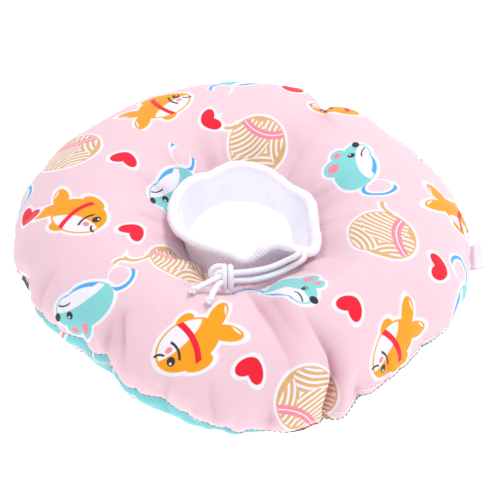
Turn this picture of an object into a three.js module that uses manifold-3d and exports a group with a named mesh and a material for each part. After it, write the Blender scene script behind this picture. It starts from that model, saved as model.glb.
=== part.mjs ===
// Cat recovery collar: a soft stuffed ring that is worn round the neck like a cushion.
// A top and a bottom cloth panel meet in an outer seam and close on a filling. A doubled
// rib-knit tube stands up out of the neck hole, and the cord of a drawstring runs round
// in its folded rim, leaves it at the front right and is knotted at the front.
//
// Units are millimetres and degrees, +Z is up. The origin is on the floor under the middle
// of the collar's box. The side with the knot faces -Y. Angles go round the neck from +X
// towards +Y, so the front is at -90.

import * as THREE from 'three';
import { mergeVertices } from 'three/addons/utils/BufferGeometryUtils.js';
import Module from 'manifold-3d';

// Driving dimensions of the ring
const OUTER_RADIUS = 150; // neck axis to the outer seam, before its waves
const NECK_RADIUS = 40; // neck axis to the seam at the knit
const CROWN_HEIGHT = 66; // floor to the top of the ring
const NECK_SEAM_HEIGHT = 30; // floor to the seam at the knit
const CROWN_SHARE = 0.47; // where the crown lies, from the neck seam to the outer seam
const BASE_INNER_SHARE = 0.3; // inner edge of the flat that rests on the floor
const BASE_OUTER_SHARE = 0.72; // outer edge of that flat
const NECK_UNDER_SLOPE = 1.15; // power of the slope under the neck seam, as in SECTIONS
const HEART_SHARE = 0.45; // height of the ring's heart, which folds pull the cloth towards
const NECK_HOLD = 0.12; // share of a panel over which the neck seam holds it
const FLOOR_HOLD = 0.2; // share of CROWN_HEIGHT over which the floor holds it
const CLOTH_WALL = 2; // cotton with the wadding that sticks to it
const SEAM_GAP = 0.3; // between the two panels
const KNIT_GAP = 0.7; // between the panels and the knit
const FILLING_GAP = 1.1; // between the panels and the filling

// Driving dimensions of the knit tube
const KNIT_WALL = 1.1; // one layer of rib knit
const LAYER_GAP = 0.4; // between the two layers
const KNIT_TUCK = 2; // how far the tube reaches below the neck seam
const RIM_HALF_WIDTH = 44.5; // channel centre, from the rim's middle to the sides
const RIM_HALF_DEPTH = 41; // channel centre, from the rim's middle to front and back
const RIM_HEIGHT = 64; // floor to the top of the rim
const RIM_SHIFT = [0, -4]; // the rim's middle, from the neck axis
const FLARE_POWER = 2.6; // how late the tube leans out on its way up

// Driving dimensions of the drawstring
const CORD_DIAMETER = 3.8;
const CORD_GAP = 0.3; // round the cord in the channel, and where cord pieces meet
const CORD_SIDES = 8;
const CORD_STEP = 1.2; // length of one step of a strand or tail, in diameters
const MOUTH_ANGLES = [-51, -43]; // where the two ends of the cord leave the channel
const WRAP_RADIUS = 5.2; // middle of the cord in a wrap of the knot
const WRAP_STRETCH = 1.25; // height of a wrap over its depth
const END_KNOT_DIAMETER = 6;

// Wraps of the knot: their place along it and their lean round the vertical, in degrees
const KNOT_WRAPS = [
  { along: 3.4, lean: 0 },
  { along: 0, lean: 0 },
  { along: -1.6, lean: 42 },
];

// Driving dimensions of the label
const LABEL_ANGLE = -3;
const LABEL_WIDTH = 22; // along the outer seam
const LABEL_REACH = 9; // out from the seam
const LABEL_WALL = 1; // one layer of the folded tape
const LABEL_FOLD_GAP = 0.6; // between its layers
const LABEL_TILT = 20; // upward

// Facets
const RING_COLUMNS = 74;
const KNIT_COLUMNS = 54;
const FOLD_CROWDING = 1.6; // how much closer the columns stand in a fold
const FOLD_BORDER = 1.6; // how far round a fold they do, in half widths of the fold
const TOP_OUTER_STEPS = 11; // across the top panel's outer face
const TOP_INNER_STEPS = 8; // across its inner face
const TOP_FILLING_STEPS = 4;
const BOTTOM_STEPS = 3; // from each seam of the bottom panel to its flat
const FLAT_START = 0.4; // share of the bottom panel at which its flat starts
const KNIT_RISES = [0, 0.4, 0.75]; // stations of the knit below its rim
const RIM_SWINGS = [-50, 0, 45, 90, 135, 180, 230]; // corners of the folded rim's section
const CHANNEL_SWINGS = [240, 190, 140, 90, 40, -10, -60]; // corners of the channel's section

const INK = {
  topPanel: { color: 0xf8d3df, roughness: 0.9 },
  bottomPanel: { color: 0x8cd7dc, roughness: 0.9 },
  filling: { color: 0xf4f3f0, roughness: 1 },
  knit: { color: 0xf3e9f7, roughness: 0.95 },
  cord: { color: 0xf2f0fd, roughness: 0.8 },
  label: { color: 0xf5f0f4, roughness: 0.55 },
};

// Waves of the outer seam in plan: how often each goes round, and its cosine and sine
// swings as shares of OUTER_RADIUS
const OUTLINE_WAVES = [
  { turns: 1, cosine: -0.009, sine: 0.009 },
  { turns: 2, cosine: -0.012, sine: -0.014 },
  { turns: 3, cosine: -0.004, sine: 0.015 },
  { turns: 4, cosine: 0.032, sine: -0.006 },
  { turns: 5, cosine: 0.008, sine: -0.008 },
  { turns: 6, cosine: -0.003, sine: -0.001 },
  { turns: 7, cosine: -0.001, sine: 0.004 },
  { turns: 8, cosine: -0.008, sine: 0.004 },
];

// How the section changes round the ring: the outer seam's height and the crown's height as
// shares of CROWN_HEIGHT, the power of the slope down to the neck and of the slope under the
// outer seam, where 1 is a cone and 2 a quarter ellipse, and the neck seam's radius as a share
// of NECK_RADIUS
const SECTIONS = [
  { angle: -105, seam: 0.38, crown: 1.0, slope: 1.2, under: 1.75, neck: 1.0 },
  { angle: -84, seam: 0.24, crown: 1.0, slope: 1.15, under: 1.15, neck: 1.0 },
  { angle: -65, seam: 0.14, crown: 1.0, slope: 1.15, under: 1.1, neck: 0.97 },
  { angle: -40, seam: 0.16, crown: 1.0, slope: 1.15, under: 1.1, neck: 0.93 },
  { angle: 0, seam: 0.3, crown: 1.0, slope: 1.6, under: 1.2, neck: 0.87 },
  { angle: 60, seam: 0.36, crown: 1.03, slope: 1.8, under: 1.5, neck: 0.98 },
  { angle: 100, seam: 0.39, crown: 1.05, slope: 1.9, under: 1.6, neck: 1.05 },
  { angle: 180, seam: 0.37, crown: 1.0, slope: 2.0, under: 1.5, neck: 0.96 },
  { angle: 220, seam: 0.42, crown: 1.0, slope: 1.6, under: 1.5, neck: 1.0 },
];

// Dents of the stuffed ring. A row gives the angle of the fold, its depth as a share of
// CROWN_HEIGHT, its half width in degrees, and its place and reach along the panel, where
// 0 is the outer seam, 0.5 the crown and 1 the neck seam
const FOLDS = [
  { angle: -75, depth: 0.05, width: 6.0, place: 0.0, reach: 0.12 },
  { angle: -70, depth: 0.06, width: 3.2, place: 0.12, reach: 0.12 },
  { angle: -60, depth: 0.1, width: 3.6, place: 0.02, reach: 0.12 },
  { angle: -87, depth: 0.07, width: 3.6, place: 0.0, reach: 0.16 },
  { angle: -109, depth: 0.06, width: 5.0, place: 0.0, reach: 0.14 },
  { angle: -128, depth: 0.1, width: 4.6, place: 0.05, reach: 0.26 },
  { angle: -138, depth: 0.08, width: 3.8, place: 0.0, reach: 0.18 },
  { angle: -35, depth: 0.06, width: 5.5, place: 0.0, reach: 0.18 },
  { angle: 22, depth: 0.05, width: 5.0, place: 0.0, reach: 0.16 },
  { angle: 63, depth: 0.18, width: 5.5, place: 0.1, reach: 0.24 },
  { angle: 112, depth: 0.05, width: 5.0, place: 0.0, reach: 0.18 },
  { angle: 158, depth: 0.06, width: 5.0, place: 0.0, reach: 0.18 },
  { angle: 196, depth: 0.06, width: 5.0, place: 0.0, reach: 0.2 },
  { angle: -80, depth: 0.08, width: 7.5, place: 0.76, reach: 0.15 },
  { angle: -103, depth: 0.12, width: 12.0, place: 0.74, reach: 0.13 },
  { angle: -30, depth: 0.06, width: 10.0, place: 0.8, reach: 0.14 },
  { angle: 12, depth: 0.07, width: 10.0, place: 0.8, reach: 0.15 },
  { angle: 60, depth: 0.1, width: 9.0, place: 0.78, reach: 0.18 },
  { angle: 88, depth: 0.06, width: 8.0, place: 0.8, reach: 0.15 },
  { angle: 116, depth: 0.08, width: 8.0, place: 0.8, reach: 0.16 },
  { angle: 168, depth: 0.08, width: 11.0, place: 0.78, reach: 0.16 },
  { angle: 214, depth: 0.07, width: 9.0, place: 0.8, reach: 0.15 },
  { angle: 244, depth: 0.05, width: 8.0, place: 0.8, reach: 0.14 },
];

// Buckles of the knit rim: how far it moves out as a share of RIM_HALF_WIDTH, how far it
// rises as a share of RIM_HEIGHT, and its half width in degrees
const RIM_FOLDS = [
  { angle: -88, outward: 0.02, rise: -0.09, width: 12 },
  { angle: -64, outward: 0.0, rise: 0.06, width: 14 },
  { angle: -35, outward: 0.22, rise: -0.17, width: 17 },
  { angle: 42, outward: -0.08, rise: -0.08, width: 24 },
  { angle: 96, outward: 0.03, rise: 0.0, width: 14 },
  { angle: 120, outward: -0.05, rise: -0.03, width: 13 },
  { angle: 200, outward: 0.03, rise: -0.03, width: 24 },
];

// The visible ends of the drawstring, as points from the neck axis. Each strand starts in
// the channel at its mouth and runs along the knit to the knot, and each tail goes on from
// the knot over the top panel
const KNOT_MIDDLE = [-12.8, -64.6, 57.8];
const STRAND_POINTS = [
  [[34.8, -44.4, 58.5], [26.7, -48.2, 56.0], [15.6, -53.6, 55.0], [4.5, -58.7, 57.0], [-6.8, -64.1, 61.0]],
  [[37.7, -44.5, 54.0], [26.7, -50.0, 50.5], [15.6, -56.3, 50.5], [4.5, -61.0, 52.0], [-6.8, -66.2, 57.0]],
];
const TAIL_POINTS = [
  [[-16.2, -68.9, 60.5], [-22.4, -77.6, 65.2], [-28.0, -84.2, 67.6]],
  [[-13.7, -71.7, 60.1], [-17.2, -86.0, 66.5], [-19.1, -92.2, 68.0]],
];

const CORD_RADIUS = CORD_DIAMETER / 2;
const SLEEVE_RADIUS = CORD_RADIUS + CORD_GAP;
const CHANNEL_STEP = CHANNEL_SWINGS[0] - CHANNEL_SWINGS[1];
const CHANNEL_RADIUS = SLEEVE_RADIUS / Math.cos(THREE.MathUtils.degToRad(CHANNEL_STEP / 2));
const RIM_FOLD_RADIUS = CHANNEL_RADIUS + KNIT_WALL;
const RADIAL_SPAN = OUTER_RADIUS - NECK_RADIUS;
const CROWN_RADIUS = NECK_RADIUS + CROWN_SHARE * RADIAL_SPAN;
const HEART_HEIGHT = CROWN_HEIGHT * HEART_SHARE;

const radians = THREE.MathUtils.degToRad;
const lerp = THREE.MathUtils.lerp;

// Signed angle from one direction to another, from -180 to 180
function turnBetween(from, to) {
  return THREE.MathUtils.euclideanModulo(to - from + 180, 360) - 180;
}

function bell(distance, width) {
  return Math.exp(-((distance / width) ** 2));
}

// A column of a table at an angle, eased between the rows on either side of it
function tableAt(rows, angle, column) {
  let below = rows[0];
  let above = rows[0];
  let gapBelow = 360;
  let gapAbove = 360;
  for (const row of rows) {
    const back = THREE.MathUtils.euclideanModulo(angle - row.angle, 360);
    const ahead = THREE.MathUtils.euclideanModulo(row.angle - angle, 360);
    if (back < gapBelow) {
      gapBelow = back;
      below = row;
    }
    if (ahead < gapAbove) {
      gapAbove = ahead;
      above = row;
    }
  }
  const share = gapBelow + gapAbove > 0 ? gapBelow / (gapBelow + gapAbove) : 0;
  return lerp(below[column], above[column], THREE.MathUtils.smoothstep(share, 0, 1));
}

function neckRadius(angle) {
  return NECK_RADIUS * tableAt(SECTIONS, angle, 'neck');
}

function outlineRadius(angle) {
  let swing = 1;
  for (const wave of OUTLINE_WAVES) {
    const phase = radians(wave.turns * angle);
    swing += wave.cosine * Math.cos(phase) + wave.sine * Math.sin(phase);
  }
  return OUTER_RADIUS * swing;
}

// The undented ring in its radial plane, as distance from the neck axis and height. share
// goes from 0 at the outer seam to 1 at the neck seam, over the top or under the bottom
function topSection(angle, share) {
  const swing = Math.PI * share;
  const outer = share < 0.5;
  const power = outer ? 2 : tableAt(SECTIONS, angle, 'slope');
  const edge = outer ? outlineRadius(angle) : neckRadius(angle);
  const seam = outer ? CROWN_HEIGHT * tableAt(SECTIONS, angle, 'seam') : NECK_SEAM_HEIGHT;
  const crown = CROWN_HEIGHT * tableAt(SECTIONS, angle, 'crown');
  const across = Math.abs(Math.cos(swing)) ** (2 / power);
  const up = Math.sin(swing) ** (2 / power);
  return new THREE.Vector2(lerp(CROWN_RADIUS, edge, across), lerp(seam, crown, up));
}

function bottomSection(angle, share) {
  const outer = share < 0.5;
  const edge = outer ? outlineRadius(angle) : neckRadius(angle);
  const seam = outer ? CROWN_HEIGHT * tableAt(SECTIONS, angle, 'seam') : NECK_SEAM_HEIGHT;
  const baseShare = outer ? BASE_OUTER_SHARE : BASE_INNER_SHARE;
  const base = NECK_RADIUS + baseShare * RADIAL_SPAN;
  const fromSeam = (outer ? share : 1 - share) / FLAT_START;
  const swing = (Math.min(fromSeam, 1) * Math.PI) / 2;
  const power = outer ? tableAt(SECTIONS, angle, 'under') : NECK_UNDER_SLOPE;
  const across = Math.cos(swing) ** (2 / power);
  const down = Math.sin(swing) ** (2 / power);
  return new THREE.Vector2(lerp(base, edge, across), seam * (1 - down));
}

// The dented ring. A fold dies out at the neck seam, which the knit holds, and at the floor
function panelPoint(section, angle, share) {
  const point = section(angle, share);
  const heart = new THREE.Vector2(CROWN_RADIUS, HEART_HEIGHT);
  const heldByNeck = Math.min(1, (1 - share) / NECK_HOLD);
  const heldByFloor = Math.min(1, point.y / (CROWN_HEIGHT * FLOOR_HOLD));
  let depth = 0;
  for (const fold of FOLDS) {
    const across = bell(turnBetween(fold.angle, angle), fold.width);
    depth += CROWN_HEIGHT * fold.depth * across * bell(share - fold.place, fold.reach);
  }
  const inward = heart.sub(point).normalize();
  return point.addScaledVector(inward, depth * heldByNeck * heldByFloor);
}

// A line across a panel at some depth under its outer face. Its ends, at the two seams, lie
// level with the seam and half a seam gap away from it
function panelLine(section, angle, shares, depth) {
  const side = section === topSection ? 1 : -1;
  const nudge = 0.004;
  return shares.map((share) => {
    const point = panelPoint(section, angle, share);
    if (share === 0 || share === 1) {
      const inward = share === 0 ? -1 : 1;
      return new THREE.Vector2(point.x + inward * depth, point.y + (side * SEAM_GAP) / 2);
    }
    const along = panelPoint(section, angle, share + nudge);
    along.sub(panelPoint(section, angle, share - nudge)).normalize();
    return new THREE.Vector2(point.x - side * along.y * depth, point.y + side * along.x * depth);
  });
}

function evenShares(count) {
  return Array.from({ length: count + 1 }, (_, index) => index / count);
}

// Shares across the bottom panel: a quarter, the flat that rests on the floor, and a quarter
function bottomShares() {
  const quarter = evenShares(BOTTOM_STEPS).map((share) => share * FLAT_START);
  return [...quarter, ...quarter.map((share) => 1 - share).reverse()];
}

// Angles of columns round the neck, which crowd together in the folds of a table
function crowdedAngles(count, folds) {
  const samples = 1440;
  const totals = [0];
  for (let index = 0; index < samples; index += 1) {
    const angle = (index * 360) / samples;
    const near = folds.map((fold) => bell(turnBetween(fold.angle, angle), fold.width * FOLD_BORDER));
    totals.push(totals[index] + 1 + FOLD_CROWDING * Math.max(...near));
  }
  const angles = [];
  let index = 0;
  for (let column = 0; column < count; column += 1) {
    const wanted = (totals[samples] * column) / count;
    while (totals[index + 1] <= wanted) index += 1;
    const share = (wanted - totals[index]) / (totals[index + 1] - totals[index]);
    angles.push(((index + share) * 360) / samples);
  }
  return angles;
}

// A closed ring of cloth, lofted through one closed loop of points at each angle. The loops
// go counter-clockwise where the radius is to the right and the height is up. Each patch
// between four points is split along its shorter diagonal
function loftRing(angles, loopAt) {
  const loops = angles.map(loopAt);
  const size = loops[0].length;
  const vertices = loops.flat();
  const faces = [];
  for (let column = 0; column < loops.length; column += 1) {
    const next = (column + 1) % loops.length;
    for (let row = 0; row < size; row += 1) {
      const above = (row + 1) % size;
      const here = column * size + row;
      const there = next * size + row;
      const hereAbove = column * size + above;
      const thereAbove = next * size + above;
      const rising = vertices[here].distanceTo(vertices[thereAbove]);
      const falling = vertices[there].distanceTo(vertices[hereAbove]);
      if (rising < falling) {
        faces.push(here, there, thereAbove, here, thereAbove, hereAbove);
      } else {
        faces.push(here, there, hereAbove, there, thereAbove, hereAbove);
      }
    }
  }
  const geometry = new THREE.BufferGeometry();
  const positions = vertices.flatMap((vertex) => vertex.toArray());
  geometry.setAttribute('position', new THREE.Float32BufferAttribute(positions, 3));
  geometry.setIndex(faces);
  return geometry;
}

// A closed tube through open rows of sections, with a flat cap at each end
function loftTube(sections) {
  const size = sections[0].length;
  const faces = [];
  for (let row = 0; row + 1 < sections.length; row += 1) {
    for (let side = 0; side < size; side += 1) {
      const here = row * size + side;
      const besideHere = row * size + ((side + 1) % size);
      faces.push(here, here + size, besideHere, here + size, besideHere + size, besideHere);
    }
  }
  const last = (sections.length - 1) * size;
  for (let side = 1; side + 1 < size; side += 1) {
    faces.push(0, side, side + 1, last, last + side + 1, last + side);
  }
  const positions = sections.flat().flatMap((vertex) => vertex.toArray());
  const geometry = new THREE.BufferGeometry();
  geometry.setAttribute('position', new THREE.Float32BufferAttribute(positions, 3));
  geometry.setIndex(faces);
  return geometry;
}

function onRing(angle, point) {
  const turn = radians(angle);
  return new THREE.Vector3(point.x * Math.cos(turn), point.x * Math.sin(turn), point.y);
}

function topPanel() {
  return loftRing(crowdedAngles(RING_COLUMNS, FOLDS), (angle) => {
    const outside = panelLine(topSection, angle, evenShares(TOP_OUTER_STEPS), 0);
    const inside = panelLine(topSection, angle, evenShares(TOP_INNER_STEPS), CLOTH_WALL).reverse();
    return [...outside, ...inside].map((point) => onRing(angle, point));
  });
}

function bottomPanel() {
  return loftRing(crowdedAngles(RING_COLUMNS, FOLDS), (angle) => {
    const outside = panelLine(bottomSection, angle, bottomShares(), 0).reverse();
    const inside = panelLine(bottomSection, angle, bottomShares(), CLOTH_WALL);
    return [...outside, ...inside].map((point) => onRing(angle, point));
  });
}

function filling() {
  const depth = CLOTH_WALL + FILLING_GAP;
  const all = bottomShares();
  const stations = [all[1], ...all.slice(BOTTOM_STEPS, -1)];
  return loftRing(crowdedAngles(RING_COLUMNS, FOLDS), (angle) => {
    const over = panelLine(topSection, angle, evenShares(TOP_FILLING_STEPS), depth);
    const under = panelLine(bottomSection, angle, stations, depth).reverse();
    return [...over, ...under].map((point) => onRing(angle, point));
  });
}

// Middle of the drawstring's channel in the folded rim of the knit
function channelPoint(angle) {
  let outward = 1;
  let rise = 1;
  for (const fold of RIM_FOLDS) {
    const near = bell(turnBetween(fold.angle, angle), fold.width);
    outward += fold.outward * near;
    rise += fold.rise * near;
  }
  return new THREE.Vector3(
    RIM_SHIFT[0] + RIM_HALF_WIDTH * outward * Math.cos(radians(angle)),
    RIM_SHIFT[1] + RIM_HALF_DEPTH * outward * Math.sin(radians(angle)),
    RIM_HEIGHT * rise - RIM_FOLD_RADIUS,
  );
}

// Directions at a point of the rim, square to the channel: level outward, and upward
function rimFrame(angle) {
  const along = channelPoint(angle + 1).sub(channelPoint(angle - 1)).normalize();
  const outward = along.clone().cross(new THREE.Vector3(0, 0, 1)).normalize();
  return { outward, upward: outward.clone().cross(along) };
}

// A point of the knit: rise goes from 0 at its foot to 1 at the channel, and aside is the
// distance out from the middle between its two layers
function knitPoint(angle, rise, aside) {
  const footRadius = neckRadius(angle) - KNIT_GAP - KNIT_WALL - LAYER_GAP / 2;
  const foot = onRing(angle, new THREE.Vector2(footRadius, NECK_SEAM_HEIGHT - KNIT_TUCK));
  const rim = channelPoint(angle);
  const lean = rise ** FLARE_POWER;
  const middle = new THREE.Vector3(
    lerp(foot.x, rim.x, lean),
    lerp(foot.y, rim.y, lean),
    lerp(foot.z, rim.z, rise),
  );
  const outward = onRing(angle, new THREE.Vector2(1, 0)).lerp(rimFrame(angle).outward, rise);
  return middle.addScaledVector(outward.normalize(), aside);
}

function channelRing(angle, radius, swings) {
  const { outward, upward } = rimFrame(angle);
  return swings.map((swing) => {
    const turn = radians(swing);
    const point = channelPoint(angle).addScaledVector(outward, radius * Math.cos(turn));
    return point.addScaledVector(upward, radius * Math.sin(turn));
  });
}

// The tube is one strip folded in half: a layer up the outside, round the cord, and a layer
// down the inside, with the channel between them at the fold
function knitTube() {
  const face = LAYER_GAP / 2 + KNIT_WALL;
  return loftRing(crowdedAngles(KNIT_COLUMNS, RIM_FOLDS), (angle) => [
    ...KNIT_RISES.map((rise) => knitPoint(angle, rise, face)),
    ...channelRing(angle, RIM_FOLD_RADIUS, RIM_SWINGS),
    ...KNIT_RISES.map((rise) => knitPoint(angle, rise, -face)).reverse(),
    ...KNIT_RISES.map((rise) => knitPoint(angle, rise, -LAYER_GAP / 2)),
    ...channelRing(angle, CHANNEL_RADIUS, CHANNEL_SWINGS),
    ...KNIT_RISES.map((rise) => knitPoint(angle, rise, LAYER_GAP / 2)).reverse(),
  ]);
}

function roundSection(radius) {
  const corners = evenShares(CORD_SIDES).slice(0, -1).map((share) => {
    const turn = share * 2 * Math.PI;
    return new THREE.Vector2(radius * Math.cos(turn), radius * Math.sin(turn));
  });
  return new THREE.Shape(corners);
}

function cordAlong(points, radius) {
  const path = new THREE.CatmullRomCurve3(points);
  const steps = Math.max(2, Math.ceil(path.getLength() / (CORD_DIAMETER * CORD_STEP)));
  const shape = roundSection(radius);
  return new THREE.ExtrudeGeometry(shape, { extrudePath: path, steps, curveSegments: 1 });
}

function toVectors(points) {
  return points.map((point) => new THREE.Vector3(...point));
}

// The strand's route, from the middle of the channel at its mouth to the knot
function strandRoute(index) {
  return [channelPoint(MOUTH_ANGLES[index]), ...toVectors(STRAND_POINTS[index])];
}

// The hidden stretch of the cord, round in the channel from one mouth to the other. It is
// lofted through the knit's own columns, so that the channel fits it all the way
function channelLoop() {
  const clear = THREE.MathUtils.radToDeg(SLEEVE_RADIUS / RIM_HALF_DEPTH);
  const from = MOUTH_ANGLES[1] + clear;
  const to = MOUTH_ANGLES[0] + 360 - clear;
  const columns = crowdedAngles(KNIT_COLUMNS, RIM_FOLDS);
  const turns = [...columns.map((angle) => angle - 360), ...columns];
  const angles = [from, ...turns.filter((angle) => angle > from && angle < to), to];
  const corners = evenShares(CORD_SIDES).slice(0, -1).map((share) => share * 360);
  return loftTube(angles.map((angle) => channelRing(angle, CORD_RADIUS, corners)));
}

// Solids joined and cut by booleans
const wasm = await Module();
wasm.setup();

function toSolid(geometry) {
  const bare = geometry.clone();
  bare.deleteAttribute('normal');
  bare.deleteAttribute('uv');
  const merged = mergeVertices(bare, 1e-5);
  return new wasm.Manifold(
    new wasm.Mesh({
      numProp: 3,
      vertProperties: new Float32Array(merged.attributes.position.array),
      triVerts: new Uint32Array(merged.index.array),
    }),
  );
}

function fromSolid(solid) {
  const mesh = solid.getMesh();
  const geometry = new THREE.BufferGeometry();
  geometry.setAttribute('position', new THREE.Float32BufferAttribute(mesh.vertProperties, 3));
  geometry.setIndex(new THREE.Uint32BufferAttribute(mesh.triVerts, 1));
  return geometry;
}

// The knit with the two eyelets through which the cord leaves the channel
function knitWithEyelets() {
  let knit = toSolid(knitTube());
  MOUTH_ANGLES.forEach((_, index) => {
    const sleeve = cordAlong(strandRoute(index), SLEEVE_RADIUS);
    knit = knit.subtract(toSolid(sleeve));
  });
  return fromSolid(knit);
}

// An overhand knot of both strands, drawn tight: two wraps side by side and one that
// crosses them, joined through a core
function drawstringKnot() {
  let knot = toSolid(new THREE.SphereGeometry(WRAP_RADIUS, CORD_SIDES, CORD_SIDES / 2));
  for (const wrap of KNOT_WRAPS) {
    const ring = new THREE.TorusGeometry(WRAP_RADIUS, CORD_RADIUS, 6, 10);
    ring.rotateY(Math.PI / 2);
    ring.scale(1, 1, WRAP_STRETCH);
    ring.rotateZ(radians(wrap.lean));
    ring.translate(wrap.along, 0, 0);
    knot = knot.add(toSolid(ring));
  }
  return fromSolid(knot).translate(...KNOT_MIDDLE);
}

function endKnot(index) {
  const points = toVectors(TAIL_POINTS[index]);
  const tip = points.at(-1);
  const onward = tip.clone().sub(points.at(-2)).normalize();
  const middle = tip.addScaledVector(onward, END_KNOT_DIAMETER / 2 + CORD_GAP);
  const ball = new THREE.SphereGeometry(END_KNOT_DIAMETER / 2, CORD_SIDES, 6);
  return ball.translate(...middle.toArray());
}

// A tab of folded tape: its layers leave the outer seam and meet in a fold at its edge
function sideLabel() {
  const half = LABEL_FOLD_GAP / 2 + LABEL_WALL;
  const gap = LABEL_FOLD_GAP / 2;
  const profile = new THREE.Shape();
  profile.moveTo(0, -half);
  profile.lineTo(LABEL_REACH - half, -half);
  profile.absarc(LABEL_REACH - half, 0, half, -Math.PI / 2, Math.PI / 2, false);
  profile.lineTo(0, half);
  profile.lineTo(0, gap);
  profile.lineTo(LABEL_REACH - half, gap);
  profile.lineTo(LABEL_REACH - half, -gap);
  profile.lineTo(0, -gap);
  const options = { depth: LABEL_WIDTH, bevelEnabled: false, curveSegments: 4 };
  const tab = new THREE.ExtrudeGeometry(profile, options);
  tab.translate(0, 0, -LABEL_WIDTH / 2);
  tab.rotateX(Math.PI / 2);
  tab.rotateY(-radians(LABEL_TILT));
  const seam = panelPoint(topSection, LABEL_ANGLE, 0);
  tab.translate(seam.x + SEAM_GAP + half * Math.sin(radians(LABEL_TILT)), 0, seam.y);
  return tab.rotateZ(radians(LABEL_ANGLE));
}

function makeMesh(name, geometry, ink) {
  const mesh = new THREE.Mesh(geometry, new THREE.MeshStandardMaterial({ metalness: 0, ...ink }));
  mesh.name = name;
  return mesh;
}

// Assembly about the neck axis, then moved so that the origin is under the box's middle
const stuffedRing = new THREE.Group();
stuffedRing.add(
  makeMesh('top_panel', topPanel(), INK.topPanel),
  makeMesh('bottom_panel', bottomPanel(), INK.bottomPanel),
  makeMesh('filling', filling(), INK.filling),
  makeMesh('neck_collar', knitWithEyelets(), INK.knit),
  makeMesh('side_label', sideLabel(), INK.label),
);
const middle = new THREE.Box3().setFromObject(stuffedRing).getCenter(new THREE.Vector3());

const drawstring = new THREE.Group();
drawstring.add(
  makeMesh('drawstring_loop', channelLoop(), INK.cord),
  makeMesh('drawstring_knot', drawstringKnot(), INK.cord),
);
MOUTH_ANGLES.forEach((_, index) => {
  const label = index + 1;
  const strand = cordAlong(strandRoute(index), CORD_RADIUS);
  const tail = cordAlong(toVectors(TAIL_POINTS[index]), CORD_RADIUS);
  drawstring.add(
    makeMesh(`drawstring_strand_${label}`, strand, INK.cord),
    makeMesh(`drawstring_tail_${label}`, tail, INK.cord),
    makeMesh(`end_knot_${label}`, endKnot(index), INK.cord),
  );
});

const collar = new THREE.Group();
collar.add(stuffedRing, drawstring);
collar.position.set(-middle.x, -middle.y, 0);

export default collar;
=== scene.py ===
"""Cat recovery collar: printed cotton ring, rib-knit neck, drawstring, side label and a plain stage."""

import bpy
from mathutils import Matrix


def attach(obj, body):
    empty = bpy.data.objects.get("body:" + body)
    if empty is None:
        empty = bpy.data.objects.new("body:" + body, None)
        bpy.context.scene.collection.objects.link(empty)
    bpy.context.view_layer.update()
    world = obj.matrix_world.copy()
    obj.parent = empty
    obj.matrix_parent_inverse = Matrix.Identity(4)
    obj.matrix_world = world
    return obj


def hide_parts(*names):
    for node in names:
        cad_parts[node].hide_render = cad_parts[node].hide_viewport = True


bl_info = {
    "name": "Cat Recovery Collar",
    "version": (1, 0, 0),
    "blender": (4, 5, 0),
    "location": "View3D > Sidebar > Collar",
    "description": "Builds a soft stuffed recovery collar round its packed frame",
    "category": "Object",
}

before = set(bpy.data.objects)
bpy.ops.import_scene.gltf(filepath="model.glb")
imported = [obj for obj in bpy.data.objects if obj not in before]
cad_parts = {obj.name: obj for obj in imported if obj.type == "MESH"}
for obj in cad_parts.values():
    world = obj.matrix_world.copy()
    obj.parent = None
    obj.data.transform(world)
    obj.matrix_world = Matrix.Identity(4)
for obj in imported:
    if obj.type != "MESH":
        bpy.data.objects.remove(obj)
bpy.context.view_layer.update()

from functools import partial
import math

import bmesh
import bpy
import numpy as np
from mathutils import Matrix, Vector

MM = 0.001

# Where the neck's axis stands in the row frame, in millimetres. The ring is worked out from it
NECK_AXIS = np.array([-3.6671, 1.8913, 0.0])

# The ring's main sizes in millimetres, and its shares, as the frame has them
OUTER_RADIUS = 150.0
NECK_RADIUS = 40.0
CROWN_HEIGHT = 66.0
NECK_SEAM_HEIGHT = 30.0
RADIAL_SPAN = OUTER_RADIUS - NECK_RADIUS
CROWN_RADIUS = NECK_RADIUS + 0.47 * RADIAL_SPAN
HEART_HEIGHT = 0.45 * CROWN_HEIGHT
BASE_INNER_RADIUS = NECK_RADIUS + 0.3 * RADIAL_SPAN
BASE_OUTER_RADIUS = NECK_RADIUS + 0.72 * RADIAL_SPAN
FLAT_START = 0.4
NECK_HOLD = 0.12
FLOOR_HOLD = 0.2
SEAM_GAP = 0.3

# Waves of the outer seam: turns, cosine swing and sine swing
OUTLINE_WAVES = (
    (1, -0.009, 0.009),
    (2, -0.012, -0.014),
    (3, -0.004, 0.015),
    (4, 0.032, -0.006),
    (5, 0.008, -0.008),
    (6, -0.003, -0.001),
    (7, -0.001, 0.004),
    (8, -0.008, 0.004),
)

# Section of the ring round the neck: angle, seam height, crown height, slope power down to the
# neck, slope power under the outer seam, neck radius
SECTIONS = np.array((
    (-105, 0.38, 1.0, 1.2, 1.75, 1.0),
    (-84, 0.24, 1.0, 1.15, 1.15, 1.0),
    (-65, 0.14, 1.0, 1.15, 1.1, 0.97),
    (-40, 0.16, 1.0, 1.15, 1.1, 0.93),
    (0, 0.3, 1.0, 1.6, 1.2, 0.87),
    (60, 0.36, 1.03, 1.8, 1.5, 0.98),
    (100, 0.39, 1.05, 1.9, 1.6, 1.05),
    (180, 0.37, 1.0, 2.0, 1.5, 0.96),
    (220, 0.42, 1.0, 1.6, 1.5, 1.0),
))
SEAM, CROWN, SLOPE, UNDER, NECK = 1, 2, 3, 4, 5
NECK_UNDER_SLOPE = 1.15

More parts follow.
